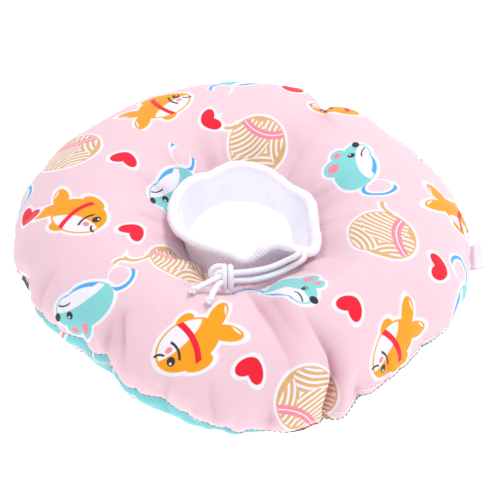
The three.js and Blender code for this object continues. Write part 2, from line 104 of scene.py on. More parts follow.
# Large dents of the ring: angle, depth, half width, place and reach along the panel
FOLDS = (
    (-75, 0.05, 6.0, 0.0, 0.12),
    (-70, 0.06, 3.2, 0.12, 0.12),
    (-60, 0.06, 3.6, 0.02, 0.12),
    (-87, 0.07, 3.6, 0.0, 0.16),
    (-109, 0.06, 5.0, 0.0, 0.14),
    (-128, 0.1, 4.6, 0.05, 0.26),
    (-138, 0.08, 3.8, 0.0, 0.18),
    (-35, 0.06, 5.5, 0.0, 0.18),
    (22, 0.05, 5.0, 0.0, 0.16),
    (63, 0.18, 5.5, 0.1, 0.24),
    (112, 0.05, 5.0, 0.0, 0.18),
    (158, 0.06, 5.0, 0.0, 0.18),
    (196, 0.06, 5.0, 0.0, 0.2),
    (-80, 0.06, 7.5, 0.76, 0.15),
    (-103, 0.12, 12.0, 0.74, 0.13),
    (-30, 0.06, 10.0, 0.8, 0.14),
    (12, 0.07, 10.0, 0.8, 0.15),
    (60, 0.1, 9.0, 0.78, 0.18),
    (88, 0.06, 8.0, 0.8, 0.15),
    (116, 0.08, 8.0, 0.8, 0.16),
    (168, 0.08, 11.0, 0.78, 0.16),
    (214, 0.07, 9.0, 0.8, 0.15),
    (244, 0.05, 8.0, 0.8, 0.14),
)

# Sharp creases of the top cloth: half widths in millimetres towards smaller and larger angles, and
# the points of the crease's line, each an angle, a share and a depth in millimetres
CREASES = (
    ((1.5, 8.0), ((-88, 0.8, 0.0), (-87, 0.7, 1.4), (-85.5, 0.58, 3.2), (-84, 0.47, 4.0), (-81, 0.4, 3.2),
                  (-78.5, 0.3, 1.8), (-78, 0.14, 0.0))),
    ((3.0, 6.0), ((-80.5, 0.62, 0.0), (-79, 0.5, 1.8), (-76.5, 0.42, 1.8), (-73, 0.3, 0.0))),
    ((0.8, 5.0), ((-70.5, 0.44, 0.0), (-68.6, 0.34, 3.0), (-67.2, 0.26, 5.4), (-67.6, 0.19, 6.8),
                  (-69.2, 0.12, 7.6), (-70.7, 0.06, 7.4), (-71.3, 0.0, 5.0))),
    ((2.5, 4.5), ((-61, 0.15, 0.0), (-60.3, 0.06, 2.8), (-59.6, 0.0, 1.8))),
    ((1.8, 5.0), ((-84, 0.18, 0.0), (-84.2, 0.08, 3.0), (-84.6, 0.0, 1.8))),
    ((5.0, 1.6), ((-127.5, 0.34, 0.0), (-126.5, 0.28, 2.4), (-123.0, 0.2, 2.4), (-119.5, 0.08, 0.0))),
    ((1.8, 4.5), ((-130.0, 0.26, 0.0), (-129.0, 0.16, 2.4), (-128.5, 0.0, 1.4))),
    ((4.0, 1.8), ((-107.5, 0.2, 0.0), (-108.5, 0.08, 2.4), (-109.0, 0.0, 1.2))),
    ((1.6, 4.0), ((-98.0, 0.22, 0.0), (-96.5, 0.1, 1.8), (-96.0, 0.0, 1.0))),
    ((4.0, 1.6), ((-49.0, 0.2, 0.0), (-50.0, 0.08, 1.8), (-50.5, 0.0, 1.0))),
    ((4.0, 1.8), ((-155.0, 0.3, 0.0), (-153.0, 0.15, 2.0), (-152.0, 0.0, 1.4))),
    ((1.8, 7.0), ((63, 0.1, 1.5), (61.5, 0.32, 3.0), (57.0, 0.44, 2.2), (45.0, 0.5, 0.0))),
    ((3.0, 3.0), ((-171, 0.86, 0.0), (-171, 0.72, 1.8), (-170, 0.6, 0.0))),
    ((3.0, 3.0), ((160, 0.88, 0.0), (160, 0.75, 1.8), (161, 0.62, 0.0))),
    ((3.0, 4.0), ((138, 0.9, 0.0), (138, 0.74, 1.8), (137, 0.6, 0.0))),
)

# Small gathers at the outer seam and at the neck seam: seed, count, half widths in degrees,
# reaches in millimetres and slant in degrees
SEAM_GATHERS = (11, 62, (0.8, 1.5), (6.0, 26.0), 9.0)
NECK_GATHERS = (5, 38, (1.6, 3.6), (14.0, 42.0), 12.0)

# Broad and fine wrinkles: seed, count and wave lengths in millimetres, and the fine ones' share
BROAD_WRINKLES = (3, 14, (38.0, 90.0))
FINE_WRINKLES = (4, 16, (9.0, 24.0))
FINE_SHARE = 0.35

# The knit tube and its folded rim, in millimetres
KNIT_WALL = 1.1
LAYER_GAP = 0.4
KNIT_GAP = 0.7
KNIT_TUCK = 2.0
RIM_HALF_WIDTH = 44.5
RIM_HALF_DEPTH = 41.0
RIM_HEIGHT = 64.0
RIM_SHIFT = (0.0, -4.0)
FLARE_POWER = 2.6
SEWN_SPREAD = 0.9
CORD_DIAMETER = 3.8
CORD_RADIUS = CORD_DIAMETER / 2
CHANNEL_RADIUS = (CORD_RADIUS + 0.3) / math.cos(math.radians(25))
RIM_FOLD_RADIUS = CHANNEL_RADIUS + KNIT_WALL

# Height of the rim's fine puckers in millimetres, and how much of the ribs is lost on the rim
PUCKER_HEIGHT = 0.32
RIM_RIB_LOSS = 0.45

# Buckles of the rim: angle, outward share, rise share, half width
RIM_FOLDS = (
    (-88, 0.02, -0.09, 12),
    (-64, 0.0, 0.06, 14),
    (-35, 0.22, -0.17, 17),
    (42, -0.08, -0.08, 24),
    (96, 0.03, 0.0, 14),
    (120, -0.05, -0.03, 13),
    (200, 0.03, -0.03, 24),
)

# Height of one loop of the knit, and how many millimetres one unit of its texture stands for
LOOP_PITCH = 1.1
UV_SCALE = 100.0

# The drawstring: where its two ends leave the rim, and the points that they follow from the
# rim through the knot to their tips, in millimetres from the neck axis
MOUTH_ANGLES = (-51.0, -43.0)
CORD_POINTS = (
    ((34.8, -44.4, 58.5), (26.7, -48.2, 56.0), (15.6, -53.6, 55.0), (4.5, -58.7, 57.0), (-6.0, -63.4, 60.2),
     (-12.4, -66.0, 60.6), (-17.6, -70.8, 62.1), (-22.4, -77.6, 65.2), (-28.0, -84.2, 67.6)),
    ((37.7, -44.5, 54.0), (26.7, -50.0, 50.5), (15.6, -56.3, 50.5), (4.5, -61.0, 52.0), (-5.0, -65.2, 55.6),
     (-10.8, -68.2, 57.6), (-14.6, -73.0, 60.2), (-16.6, -80.0, 63.8), (-17.8, -86.0, 66.5),
     (-19.1, -92.2, 68.0)),
)
KNOT_MIDDLE = np.array((-12.8, -64.6, 57.8))

# The two strands that cross the knot's front: to the right, up and towards the viewer
KNOT_CROSSINGS = (
    ((2.0, 5.6, 1.5), (-1.2, 6.8, 2.0), (-4.8, 6.0, 2.4), (-7.0, 3.2, 2.2), (-6.2, 0.2, 1.6),
     (-3.2, -1.8, 0.4)),
    ((2.0, 2.4, 3.4), (-1.4, 3.2, 3.8), (-3.6, 2.2, 3.8), (-4.2, -0.2, 3.0), (-2.4, -2.6, 1.2)),
)

# The side label: where it is sewn in, its tilt upward, how far it is tucked into the seam, the
# radius of its fold and its thickness
LABEL_ANGLE = -3.0
LABEL_TILT = 20.0
LABEL_TUCK = 1.0
LABEL_BEND = 0.5
LABEL_WALL = 0.3

# How far in from the outer seam the closing stitches run, between which angles, and the gap and
# radius of their thread; then the length, gap and radius of the outer seam's own. In millimetres
CLOSING_ROW = 5.0
CLOSING_ANGLES = (-78, -22)
CLOSING_THREAD = (1.3, 0.34)
SEAM_THREAD = (2.2, 1.3, 0.27)

# How much larger the print's motifs and hearts are than they are drawn below
MOTIF_SIZE = 1.22
HEART_SIZE = 1.1

# The cotton: width of the soft edge of its print, pitch of its weave and the crease depth at which the
# painted crease shade is full, in millimetres; and how light that painted shade is
SOFT_EDGE = 0.35
WEAVE_PITCH = 0.62
FULLY_SHADED_CREASE = 8.0
CREASE_SHADE = 0.8

# Points round the panels and round the line that the stitches follow, and how often the normals
# are evened out near the crown
PANEL_COLUMNS = 680
SEAM_COLUMNS = 1440
EVENING_ROUNDS = 24

# The camera stands 1 m in front of and above the collar
CAMERA_ELEVATION = 43.0
CAMERA_DISTANCE = 1000.0
CAMERA_TARGET = np.array((0.0, 0.0, 34.0))
CAMERA_LENS = 109.44
CAMERA_SHIFT = (0.014, -0.032)

# Strength of the world's light; the lamps' names, places, sizes in metres and watts; and how
# strongly the floor and the knit give off light themselves
WORLD_LIGHT = 0.72
LAMPS = (
    ("key light", (0.45, 0.4, 1.3), 0.5, 9.9),
    ("fill light", (-0.25, -0.75, 1.4), 0.9, 2.6),
)
FLOOR_GLOW = 0.75
KNIT_GLOW = 0.045


def measure(name, words, value, low, high):
    """A length that a user can change, stated in millimetres."""
    return bpy.props.FloatProperty(
        name=name, description=words, default=value * MM, min=low * MM, max=high * MM, unit="LENGTH")


class CollarSizes(bpy.types.PropertyGroup):
    """Sizes of the collar's cloth, knit, cord and print"""

    gather_depth: measure("Gather Depth", "Depth of the small gathers at the outer seam", 2.7, 0, 6)
    neck_gather_depth: measure(
        "Neck Gather Depth", "Depth of the gathers where the ring is sewn to the knit", 2.4, 0, 5)
    seam_groove: measure("Seam Groove", "How far the outer seam pulls the cloth in", 1.8, 0, 5)
    wrinkle_depth: measure("Wrinkle Depth", "Swing of the soft wrinkles of the cotton", 0.55, 0, 2)
    cloth_wall: measure("Cloth Wall", "Thickness of the cotton with its wadding", 1.6, 0.4, 3)
    rib_count: bpy.props.IntProperty(
        name="Ribs", description="Ribs round the knit tube", default=172, min=40, max=260)
    rib_depth: measure("Rib Depth", "Swing of the ribs of the knit", 0.3, 0, 1)
    cord_diameter: measure("Cord Diameter", "Diameter of the drawstring", CORD_DIAMETER, 2, 6)
    motif_spacing: measure("Motif Spacing", "Distance between motifs in a row of the print", 86, 60, 140)
    row_spacing: measure("Row Spacing", "Distance between the rows of the print", 70, 50, 120)
    label_width: measure("Label Width", "Length of the side label along the seam", 22, 5, 40)
    label_reach: measure("Label Reach", "How far the side label stands out", 9, 4, 30)
    stitch_length: measure("Stitch Length", "Length of one stitch of the closing seam", 2.5, 1, 6)


def colour(name, words, value):
    """A colour that a user can change, as an sRGB-picked linear colour."""
    return bpy.props.FloatVectorProperty(
        name=name, description=words, subtype="COLOR", size=3, min=0.0, max=1.0, default=linear(value))


def linear(hex_code):
    """Linear red, green and blue of a colour written as RRGGBB."""
    parts = (int(hex_code[place:place + 2], 16) / 255 for place in (0, 2, 4))
    return tuple(part / 12.92 if part <= 0.04045 else ((part + 0.055) / 1.055) ** 2.4 for part in parts)


class CollarColours(bpy.types.PropertyGroup):
    """Colours of the collar's cloth, knit, cord and print"""

    pink: colour("Pink Cotton", "Ground of the top cloth", "EFCDD8")
    aqua: colour("Aqua Cotton", "Ground of the bottom cloth", "84D3D8")
    white: colour("Print White", "White of the print", "F2EFF8")
    orange: colour("Orange", "Orange of the fish", "F7A11E")
    tan: colour("Tan", "Thread of the yarn balls", "DDB078")
    teal: colour("Teal", "Coat of the toy mice", "86D6D8")
    blue: colour("Blue", "Blue accents", "4FA9F0")
    red: colour("Red", "Red accents and hearts", "EE1F38")
    rose: colour("Rose", "Pink accents", "F98CA2")
    dark: colour("Dark", "Lines and dots of the print", "39343A")
    grey: colour("Grey", "Grey of the bottom print", "5A565F")
    knit: colour("Knit", "The white rib knit", "F8F4FF")
    cord: colour("Cord", "The white cord", "F4F2FB")
    tape: colour("Tape", "The bare side label", "F0EAF6")
    tape_edge: colour("Tape Edge", "The side label next to the seam", "D9C0CC")
    thread: colour("Thread", "The sewing thread", "FFFAFC")
    floor: colour("Floor", "The plain floor", "FFFFFF")


def turn_between(start, end):
    """Signed angle from one direction to another, in degrees from -180 to 180."""
    return (end - start + 180.0) % 360.0 - 180.0


def bell(distance, width):
    """1 at no distance, falling away over a width."""
    return np.exp(-((distance / width) ** 2))


def pinch(distance, width):
    """1 at no distance, falling away over a width more sharply than a bell."""
    return np.exp(0.5 - np.sqrt((distance / width) ** 2 * 1.7 + 0.25))


def blend(low, high, share):
    """From low to high as share goes from 0 to 1."""
    return low + (high - low) * share


def about_axis(radius, turn, height):
    """Points at a radius, a turn in radians and a height about the neck axis."""
    return np.stack((radius * np.cos(turn), radius * np.sin(turn), height + 0 * turn), axis=-1)


def run_along(line):
    """How far along a line each of its points is."""
    return np.concatenate(((0,), np.cumsum(np.linalg.norm(np.diff(line, axis=0), axis=1))))


def unit(vectors):
    """The same directions at length 1."""
    return vectors / np.maximum(np.linalg.norm(vectors, axis=-1, keepdims=True), 1e-9)


def section_value(angle, column):
    """A column of SECTIONS at each angle, eased between the rows on either side."""
    places = SECTIONS[:, 0] % 360.0
    order = np.argsort(places)
    places = places[order]
    values = SECTIONS[order, column]
    below = np.searchsorted(places, angle % 360.0, side="right") - 1
    above = (below + 1) % len(places)
    gap = (places[above] - places[below]) % 360.0
    share = ((angle - places[below]) % 360.0) / gap
    return blend(values[below], values[above], share * share * (3 - 2 * share))


def neck_radius(angle):
    """Radius of the neck seam."""
    return NECK_RADIUS * section_value(angle, NECK)


def outline_radius(angle):
    """Radius of the outer seam."""
    swing = np.ones_like(angle)
    for turns, cosine, sine in OUTLINE_WAVES:
        phase = np.radians(turns * angle)
        swing = swing + cosine * np.cos(phase) + sine * np.sin(phase)
    return OUTER_RADIUS * swing


def plain_section(top, angle, share):
    """Radius and height of the undented ring, from 0 at the outer seam to 1 at the neck seam."""
    outer = share < 0.5
    edge = np.where(outer, outline_radius(angle), neck_radius(angle))
    seam = np.where(outer, CROWN_HEIGHT * section_value(angle, SEAM), NECK_SEAM_HEIGHT)
    if top:
        power = np.where(outer, 2.0, section_value(angle, SLOPE))
        swing = np.pi * share
        across = np.abs(np.cos(swing)) ** (2 / power)
        up = np.clip(np.sin(swing), 0.0, 1.0) ** (2 / power)
        crown = CROWN_HEIGHT * section_value(angle, CROWN)
        return blend(CROWN_RADIUS, edge, across), blend(seam, crown, up)
    base = np.where(outer, BASE_OUTER_RADIUS, BASE_INNER_RADIUS)
    swing = np.minimum(np.where(outer, share, 1 - share) / FLAT_START, 1.0) * np.pi / 2
    power = np.where(outer, section_value(angle, UNDER), NECK_UNDER_SLOPE)
    return blend(base, edge, np.cos(swing) ** (2 / power)), seam * (1 - np.sin(swing) ** (2 / power))


def seam_hold(share, height):
    """How freely the cloth moves: 0 at the neck seam and on the floor, 1 away from them."""
    return np.clip(np.minimum(1.0, (1 - share) / NECK_HOLD)
                   * np.minimum(1.0, height / (CROWN_HEIGHT * FLOOR_HOLD)), 0, 1)


def dented_section(top, angle, share):
    """Radius and height of the ring with its large folds, which pull towards its heart."""
    radius, height = plain_section(top, angle, share)
    depth = np.zeros_like(radius)
    for middle, deep, width, place, reach in FOLDS:
        depth += CROWN_HEIGHT * deep * bell(turn_between(middle, angle), width) * bell(share - place, reach)
    across = CROWN_RADIUS - radius
    up = HEART_HEIGHT - height
    length = np.maximum(np.hypot(across, up), 1e-6)
    depth = depth * seam_hold(share, height)
    return radius + depth * across / length, height + depth * up / length


def gathered(seed, count, widths, reaches, slant):
    """Angles, depths, half widths, reaches and slants of small gathers round a seam."""
    draw = np.random.default_rng(seed)
    angles = (np.arange(count) + draw.uniform(-0.32, 0.32, count)) * 360.0 / count
    return np.stack((
        angles,
        draw.uniform(0.35, 1.0, count),
        draw.uniform(*widths, count),
        draw.uniform(*reaches, count),
        draw.uniform(-slant, slant, count),
    ), axis=1)


def soft_waves(seed, count, lengths, places):
    """A smooth swing from about -1 to 1 over places in millimetres, from waves in many directions."""
    draw = np.random.default_rng(seed)
    total = np.zeros(places.shape[:-1])
    for _ in range(count):
        direction = draw.normal(size=3)
        direction /= np.linalg.norm(direction)
        length = draw.uniform(*lengths)
        total += np.sin(places @ direction * (2 * np.pi / length) + draw.uniform(0, 2 * np.pi))
    return total / math.sqrt(count)


def flat_places(top, angles, shares):
    """Where each point of a panel lay on the flat cut cloth: its radius there, in millimetres."""
    radius, height = plain_section(top, angles, shares)
    steps = np.hypot(np.diff(radius, axis=1), np.diff(height, axis=1))
    from_neck = np.cumsum(steps[:, ::-1], axis=1)[:, ::-1]
    return NECK_RADIUS + np.concatenate((from_neck, np.zeros((len(steps), 1))), axis=1)


def crease_depth(angles, shares, radius, from_seam):
    """Depth of the sharp creases, in millimetres, on a chart of each point's own surroundings."""
    scale = np.radians(1.0) * radius
    depth = np.zeros(angles.shape)
    for sides, line in CREASES:
        reference = line[0][0]
        across = turn_between(reference, angles) * scale
        nearest = np.full(depth.shape, 1e9)
        here = np.zeros(depth.shape)
        spots = []
        for angle, share, deep in line:
            column = int(np.argmin(np.abs(turn_between(angle, angles[:, 0]))))
            inward = np.interp(share, shares[0], from_seam[column])
            spots.append((turn_between(reference, angle), inward, deep))
        for start, end in zip(spots, spots[1:]):
            run_x = (end[0] - start[0]) * scale
            run_y = end[1] - start[1]
            away_x = across - start[0] * scale
            away_y = from_seam - start[1]
            along = np.clip((away_x * run_x + away_y * run_y) / (run_x**2 + run_y**2), 0, 1)
            away_x = away_x - along * run_x
            away_y = away_y - along * run_y
            distance = np.hypot(away_x, away_y)
            width = np.where(away_x < 0, *sides)
            fresh = blend(start[2], end[2], along) * np.exp(-(np.sqrt(distance**2 + 0.5) - 0.7) / width)
            closer = distance < nearest
            nearest = np.where(closer, distance, nearest)
            here = np.where(closer, fresh, here)
        depth += here
    return depth


def grid_normals(grid):
    """Unit normals of a ring-shaped grid of points, from its neighbours."""
    around = np.roll(grid, -1, axis=0) - np.roll(grid, 1, axis=0)
    along = np.gradient(grid, axis=1)
    return unit(np.cross(around, along))


def stations(count):
    """Shares across a panel, closer together near its two seams."""
    even = np.linspace(0, 1, count)
    return 0.6 * even + 0.4 * (0.5 - 0.5 * np.cos(np.pi * even))


def panel_surface(top, columns, rows, sizes):
    """The dressed outer face of a panel: its points, its outward normals and its flat places."""
    angles = np.repeat((np.arange(columns) * 360.0 / columns)[:, None], rows, axis=1)
    shares = np.repeat(stations(rows)[None, :], columns, axis=0)
    radius, height = dented_section(top, angles, shares)
    turn = np.radians(angles)
    side = 1 if top else -1
    ends = np.zeros_like(height)
    ends[:, 0] = side * SEAM_GAP / 2
    ends[:, -1] = side * SEAM_GAP / 2
    grid = about_axis(radius, turn, height + ends)
    inward = grid_normals(grid) * side
    heart_line = about_axis(CROWN_RADIUS, turn, HEART_HEIGHT)
    inward *= np.sign(((heart_line - grid) * inward).sum(-1, keepdims=True))
    inward[:, 0] = inward[:, 1]
    even = inward.copy()
    for _ in range(EVENING_ROUNDS):
        even[:, 1:-1] = (even[:, :-2] + 2 * even[:, 1:-1] + even[:, 2:]) / 4
    inward = unit(blend(inward, even, bell(shares - 0.5, 0.2)[..., None]))
    flat_radius = flat_places(top, angles, shares)
    from_seam = flat_radius[:, :1] - flat_radius
    seam_share = bell(from_seam, 9.0)[..., None]
    pull = unit(blend(inward, -about_axis(1.0, turn, 0.0), seam_share))
    depth = sizes.seam_groove / MM * bell(from_seam, 3.0)
    for middle, deep, width, reach, slant in gathered(*SEAM_GATHERS):
        lean = slant * from_seam / 40.0 * side
        depth += sizes.gather_depth / MM * deep * np.exp(-from_seam / reach) * pinch(
            turn_between(middle + lean, angles), width * (1 + from_seam / 40.0))
    if top:
        from_neck = flat_radius - flat_radius[:, -1:]
        for middle, deep, width, reach, slant in gathered(*NECK_GATHERS):
            lean = slant * from_neck / 50.0
            depth += sizes.neck_gather_depth / MM * deep * np.exp(-from_neck / reach) * pinch(
                turn_between(middle + lean, angles), width * (1 + from_neck / 110.0))
    creased = crease_depth(angles, shares, radius, from_seam)
    wrinkles = soft_waves(*BROAD_WRINKLES, grid) + FINE_SHARE * soft_waves(*FINE_WRINKLES, grid)
    depth += creased + sizes.wrinkle_depth / MM * wrinkles
    grid = grid + pull * (depth * seam_hold(shares, grid[..., 2]))[..., None]
    return grid, inward, about_axis(flat_radius, turn, creased)


def add_piece(name, points, faces, uv=None):
    """A smooth mesh of points in millimetres from the neck axis, placed in the row frame."""
    mesh = bpy.data.meshes.new(name)
    mesh.from_pydata(((points + NECK_AXIS) * MM).tolist(), [], faces)
    if uv is not None:
        layer = mesh.uv_layers.new(name="cloth")
        layer.data.foreach_set("uv", np.asarray(uv, np.float32).reshape(-1))
    mesh.polygons.foreach_set("use_smooth", np.ones(len(mesh.polygons), dtype=bool))
    mesh.update()
    piece = bpy.data.objects.new(name, mesh)
    bpy.context.collection.objects.link(piece)
    return piece


def ring_object(name, loops, flat=None, uv=None):
    """A closed ring of quads through one loop of points for each column.

    flat holds each point's place on the flat cut cloth and, as its height, the depth of the sharp
    creases there. uv holds the texture places of the grid's corners, whose last row and column
    repeat the first ones further on."""
    columns, size = loops.shape[:2]
    points = loops.reshape(-1, 3)
    column = np.arange(columns)[:, None]
    row = np.arange(size)[None, :]
    ahead = (column + 1) % columns
    above = (row + 1) % size
    quads = np.stack((
        column * size + row, ahead * size + row, ahead * size + above, column * size + above), axis=-1)
    quads = quads.reshape(-1, 4)
    if uv is not None:
        uv = np.stack((uv[:-1, :-1], uv[1:, :-1], uv[1:, 1:], uv[:-1, 1:]), axis=2).reshape(-1, 4, 2)
    corners = points[quads]
    if np.einsum("ij,ij->i", corners[:, 0], np.cross(corners[:, 1], corners[:, 2])).sum() < 0:
        quads = quads[:, ::-1]
        uv = None if uv is None else uv[:, ::-1]
    piece = add_piece(name, points, quads.tolist(), uv)
    # Each point's crease depth, kept as the height of flat_cloth, sets the painted shade in the cotton's
    # creases
    if flat is not None:
        attribute = piece.data.attributes.new("flat_cloth", "FLOAT_VECTOR", "POINT")
        attribute.data.foreach_set("vector", flat.reshape(-1).astype(np.float32))
    return piece


def wear(piece, material, slot, *nodes):
    """Finishes a piece: its material, the nodes it replaces and the body it rides on. The slot is not used.
    """
    piece.data.materials.clear()
    piece.data.materials.append(material)
    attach(piece, "root")
    if nodes:
        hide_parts(*nodes)


class Finish:
    """A procedural material, built up node by node."""

    def __init__(self, name, roughness, sheen=0.0):
        self.material = bpy.data.materials.new(name)
        self.material.use_nodes = True
        self.tree = self.material.node_tree
        self.shader = self.tree.nodes["Principled BSDF"]
        self.shader.inputs["Roughness"].default_value = roughness
        self.shader.inputs["Sheen Weight"].default_value = sheen
        self.shader.inputs["Sheen Roughness"].default_value = 0.4
        self.shader.inputs["Specular IOR Level"].default_value = 0.25

    def add(self, kind, inputs=(), **settings):
        """Adds a node, sets it up and links or fills its inputs."""
        node = self.tree.nodes.new(kind)
        for name, value in settings.items():
            setattr(node, name, value)
        for place, value in dict(inputs).items():
            if isinstance(value, bpy.types.NodeSocket):
                self.tree.links.new(value, node.inputs[place])
            else:
                node.inputs[place].default_value = value
        return node

    def math(self, operation, *values, clamp=False):
        """A number from one, two or three numbers."""
        return self.add("ShaderNodeMath", enumerate(values), operation=operation, use_clamp=clamp).outputs[0]

    def ellipse(self, place, x, y, across, up, lean=0.0):
        """Distance in millimetres to the edge of an ellipse, below 0 inside it."""
        inner = self.add("ShaderNodeMapping", {
            "Vector": place, "Location": (x, y, 0.0), "Rotation": (0.0, 0.0, math.radians(lean)),
            "Scale": (across, up, 1.0)}, vector_type="TEXTURE")
        reach = self.add("ShaderNodeVectorMath", {0: inner.outputs[0]}, operation="LENGTH").outputs["Value"]
        size = min(across, up)
        return self.math("MULTIPLY_ADD", reach, size, -size)

    def join(self, *shapes):
        """Distance to the nearest of several shapes."""
        result = shapes[0]
        for shape in shapes[1:]:
            result = self.math("MINIMUM", result, shape)
        return result

    def both(self, one, other):
        """Distance to what two shapes share."""
        return self.math("MAXIMUM", one, other)

    def stroke(self, shape, half_width):
        """Distance to a line drawn along the edge of a shape."""
        return self.math("SUBTRACT", self.math("ABSOLUTE", shape), half_width)

    def grow(self, shape, step):
        """Distance to a shape made larger by a step in millimetres."""
        return self.math("SUBTRACT", shape, step)

    def mix(self, factor, below, above):
        """One colour over another."""
        ends = [value if isinstance(value, bpy.types.NodeSocket) else (*value, 1.0)
                for value in (below, above)]
        return self.add("ShaderNodeMix", {0: factor, 6: ends[0], 7: ends[1]}, data_type="RGBA").outputs[2]

    def overprint(self, print_colour, inks, layers):
        """Shapes printed one over another, each with the name of its ink and a narrow soft edge."""
        for shape, ink in layers:
            inside = self.math("MULTIPLY_ADD", shape, -1 / SOFT_EDGE, 0.5, clamp=True)
            print_colour = self.mix(inside, print_colour, inks[ink])
        return print_colour

    def node(self, kind, inputs=(), **settings):
        """First output of a node."""
        return self.add(kind, inputs, **settings).outputs[0]

    def done(self, tone, height, strength, depth):
        """The material, with its tone and a relief of a depth in millimetres."""
        bump = self.node("ShaderNodeBump", {"Height": height, "Strength": strength, "Distance": depth * MM})
        self.tree.links.new(tone, self.shader.inputs["Base Color"])
        self.tree.links.new(bump, self.shader.inputs["Normal"])
        return self.material


def fish_motif(finish, place, ground, inks):
    """A plain fish: oval body, forked tail, a light belly and a coloured band."""
    oval = partial(finish.ellipse, place)
    body = oval(2, 0, 19, 12.5)
    tail = finish.join(oval(-19, 5.5, 9.5, 4.6, -38), oval(-19, -5.5, 9.5, 4.6, 38))
    fins = finish.join(oval(1, 11.5, 8.5, 4.5, -12), oval(-2, -11, 6, 4, 16))
    whole = finish.join(body, tail, fins)
    belly = finish.both(oval(7, -8.5, 19, 8.5, 8), finish.grow(body, -0.9))
    rays = finish.both(finish.stroke(oval(-32, 0, 9, 13), 0.5), finish.grow(tail, -0.8))
    band = finish.both(finish.stroke(oval(22, 0, 24, 26), 1.7), finish.grow(body, -0.6))
    gill = finish.both(finish.stroke(oval(14, 0, 6.5, 8), 0.7), oval(7, 0, 3.5, 7))
    smile = finish.both(finish.stroke(oval(20, 1, 5, 5), 0.6), oval(17, -4, 4, 3))
    return finish.overprint(ground, inks, (
        (finish.grow(whole, 1.7), "white"), (whole, "coat"), (belly, "white"), (rays, "white"),
        (band, "accent"), (finish.join(gill, smile), "dark"), (oval(12, -2.4, 2.2, 1.5), "cheek"),
        (oval(13.6, 3.4, 2.5, 2.5), "dark"), (oval(14.4, 4.2, 0.7, 0.7), "white")))


def yarn_motif(finish, place, ground, inks):
    """A ball of yarn: three bundles of curved threads, a coloured bundle and a loose end."""
    oval = partial(finish.ellipse, place)
    ball = oval(0, 0, 19.5, 18.5)
    inside = finish.grow(ball, -0.8)
    loose = finish.join(
        finish.both(finish.stroke(oval(14, -22, 9, 7), 0.9), oval(19, -17, 9, 8)),
        finish.both(finish.stroke(oval(29, -21, 6, 6), 0.9), oval(28, -27, 7, 6)))
    layers = [(finish.grow(finish.join(ball, loose), 1.6), "white"), (ball, "coat")]
    for x, y, pitch, patch_x, patch_y, lean in (
        (-34, 12, 3.4, -2, 2, 35), (10, 40, 3.1, 9, 9, -40), (16, -36, 2.9, 8, -9, -40),
    ):
        wave = finish.math("SINE", finish.math("MULTIPLY", oval(x, y, 10, 10), 2 * math.pi / pitch))
        threads = finish.math("MULTIPLY_ADD", wave, -0.8, -0.18)
        region = finish.both(inside, oval(patch_x, patch_y, 19, 13, lean))
        layers += [(region, "white"), (finish.both(threads, region), "coat")]
    bundle = oval(-20, -26, 25, 25)
    layers += [
        (finish.both(finish.stroke(bundle, 2.6), inside), "accent"),
        (finish.both(finish.stroke(bundle, 0.35), inside), "white"), (loose, "coat")]
    return finish.overprint(ground, inks, layers)


def mouse_motif(finish, place, ground, inks):
    """A stuffed toy mouse: egg-shaped body, round ears, a light belly and a cord tail."""
    oval = partial(finish.ellipse, place)
    body = finish.join(oval(-2, 0, 17, 12.5), oval(9, -2, 11, 8.5, -10))
    ears = finish.join(oval(4, 11.5, 6.4, 6.4), oval(13, 8.5, 4.6, 4.6))
    tail = finish.both(finish.stroke(oval(-22, -11, 8, 9), 1.0), oval(-28, -9, 11, 12, 20))
    whole = finish.join(body, ears)
    edge = finish.join(finish.grow(whole, 1.7), finish.grow(tail, 1.4))
    belly = finish.both(oval(2, -10, 18, 8.5, 6), finish.grow(body, -0.8))
    hem = finish.both(finish.stroke(oval(2, 5, 23, 16.6), 1.3), finish.grow(body, -0.4))
    hem = finish.both(hem, oval(0, -16, 16, 8))
    inner_ears = finish.join(oval(4, 12, 3.4, 3.4), oval(13.2, 9, 2.2, 2.2))
    whiskers = finish.both(finish.stroke(oval(9, -14, 9, 9), 0.45), oval(12, -6, 5, 2.6))
    dots = finish.join(oval(10.2, 0.8, 2.0, 2.2), oval(19.4, -2.6, 2.6, 2.2), whiskers)
    return finish.overprint(ground, inks, (
        (edge, "white"), (tail, "accent"), (whole, "coat"), (belly, "white"), (hem, "accent"),
        (inner_ears, "cheek"), (dots, "dark"), (oval(10.9, 1.5, 0.6, 0.6), "white")))


def heart(finish, place, ground, inks):
    """A small heart with a white edge."""
    halves = [finish.ellipse(place, 2.7 * side, 0, 4.6, 7.6, -38 * side) for side in (-1, 1)]
    shape = finish.join(*halves)
    return finish.overprint(ground, inks, ((finish.grow(shape, 1.7), "white"), (shape, "heart")))


def turned(finish, place, turn_share, jitter, size):
    """Places of one cell of the print, moved a little, turned round its middle and enlarged."""
    moved = finish.node("ShaderNodeVectorMath", {0: place, 1: jitter}, operation="SUBTRACT")
    moved = finish.node("ShaderNodeVectorMath", {0: moved, "Scale": 1 / size}, operation="SCALE")
    angle = finish.math("MULTIPLY", turn_share, 2 * math.pi)
    return finish.node("ShaderNodeVectorRotate", {"Vector": moved, "Angle": angle}, rotation_type="Z_AXIS")


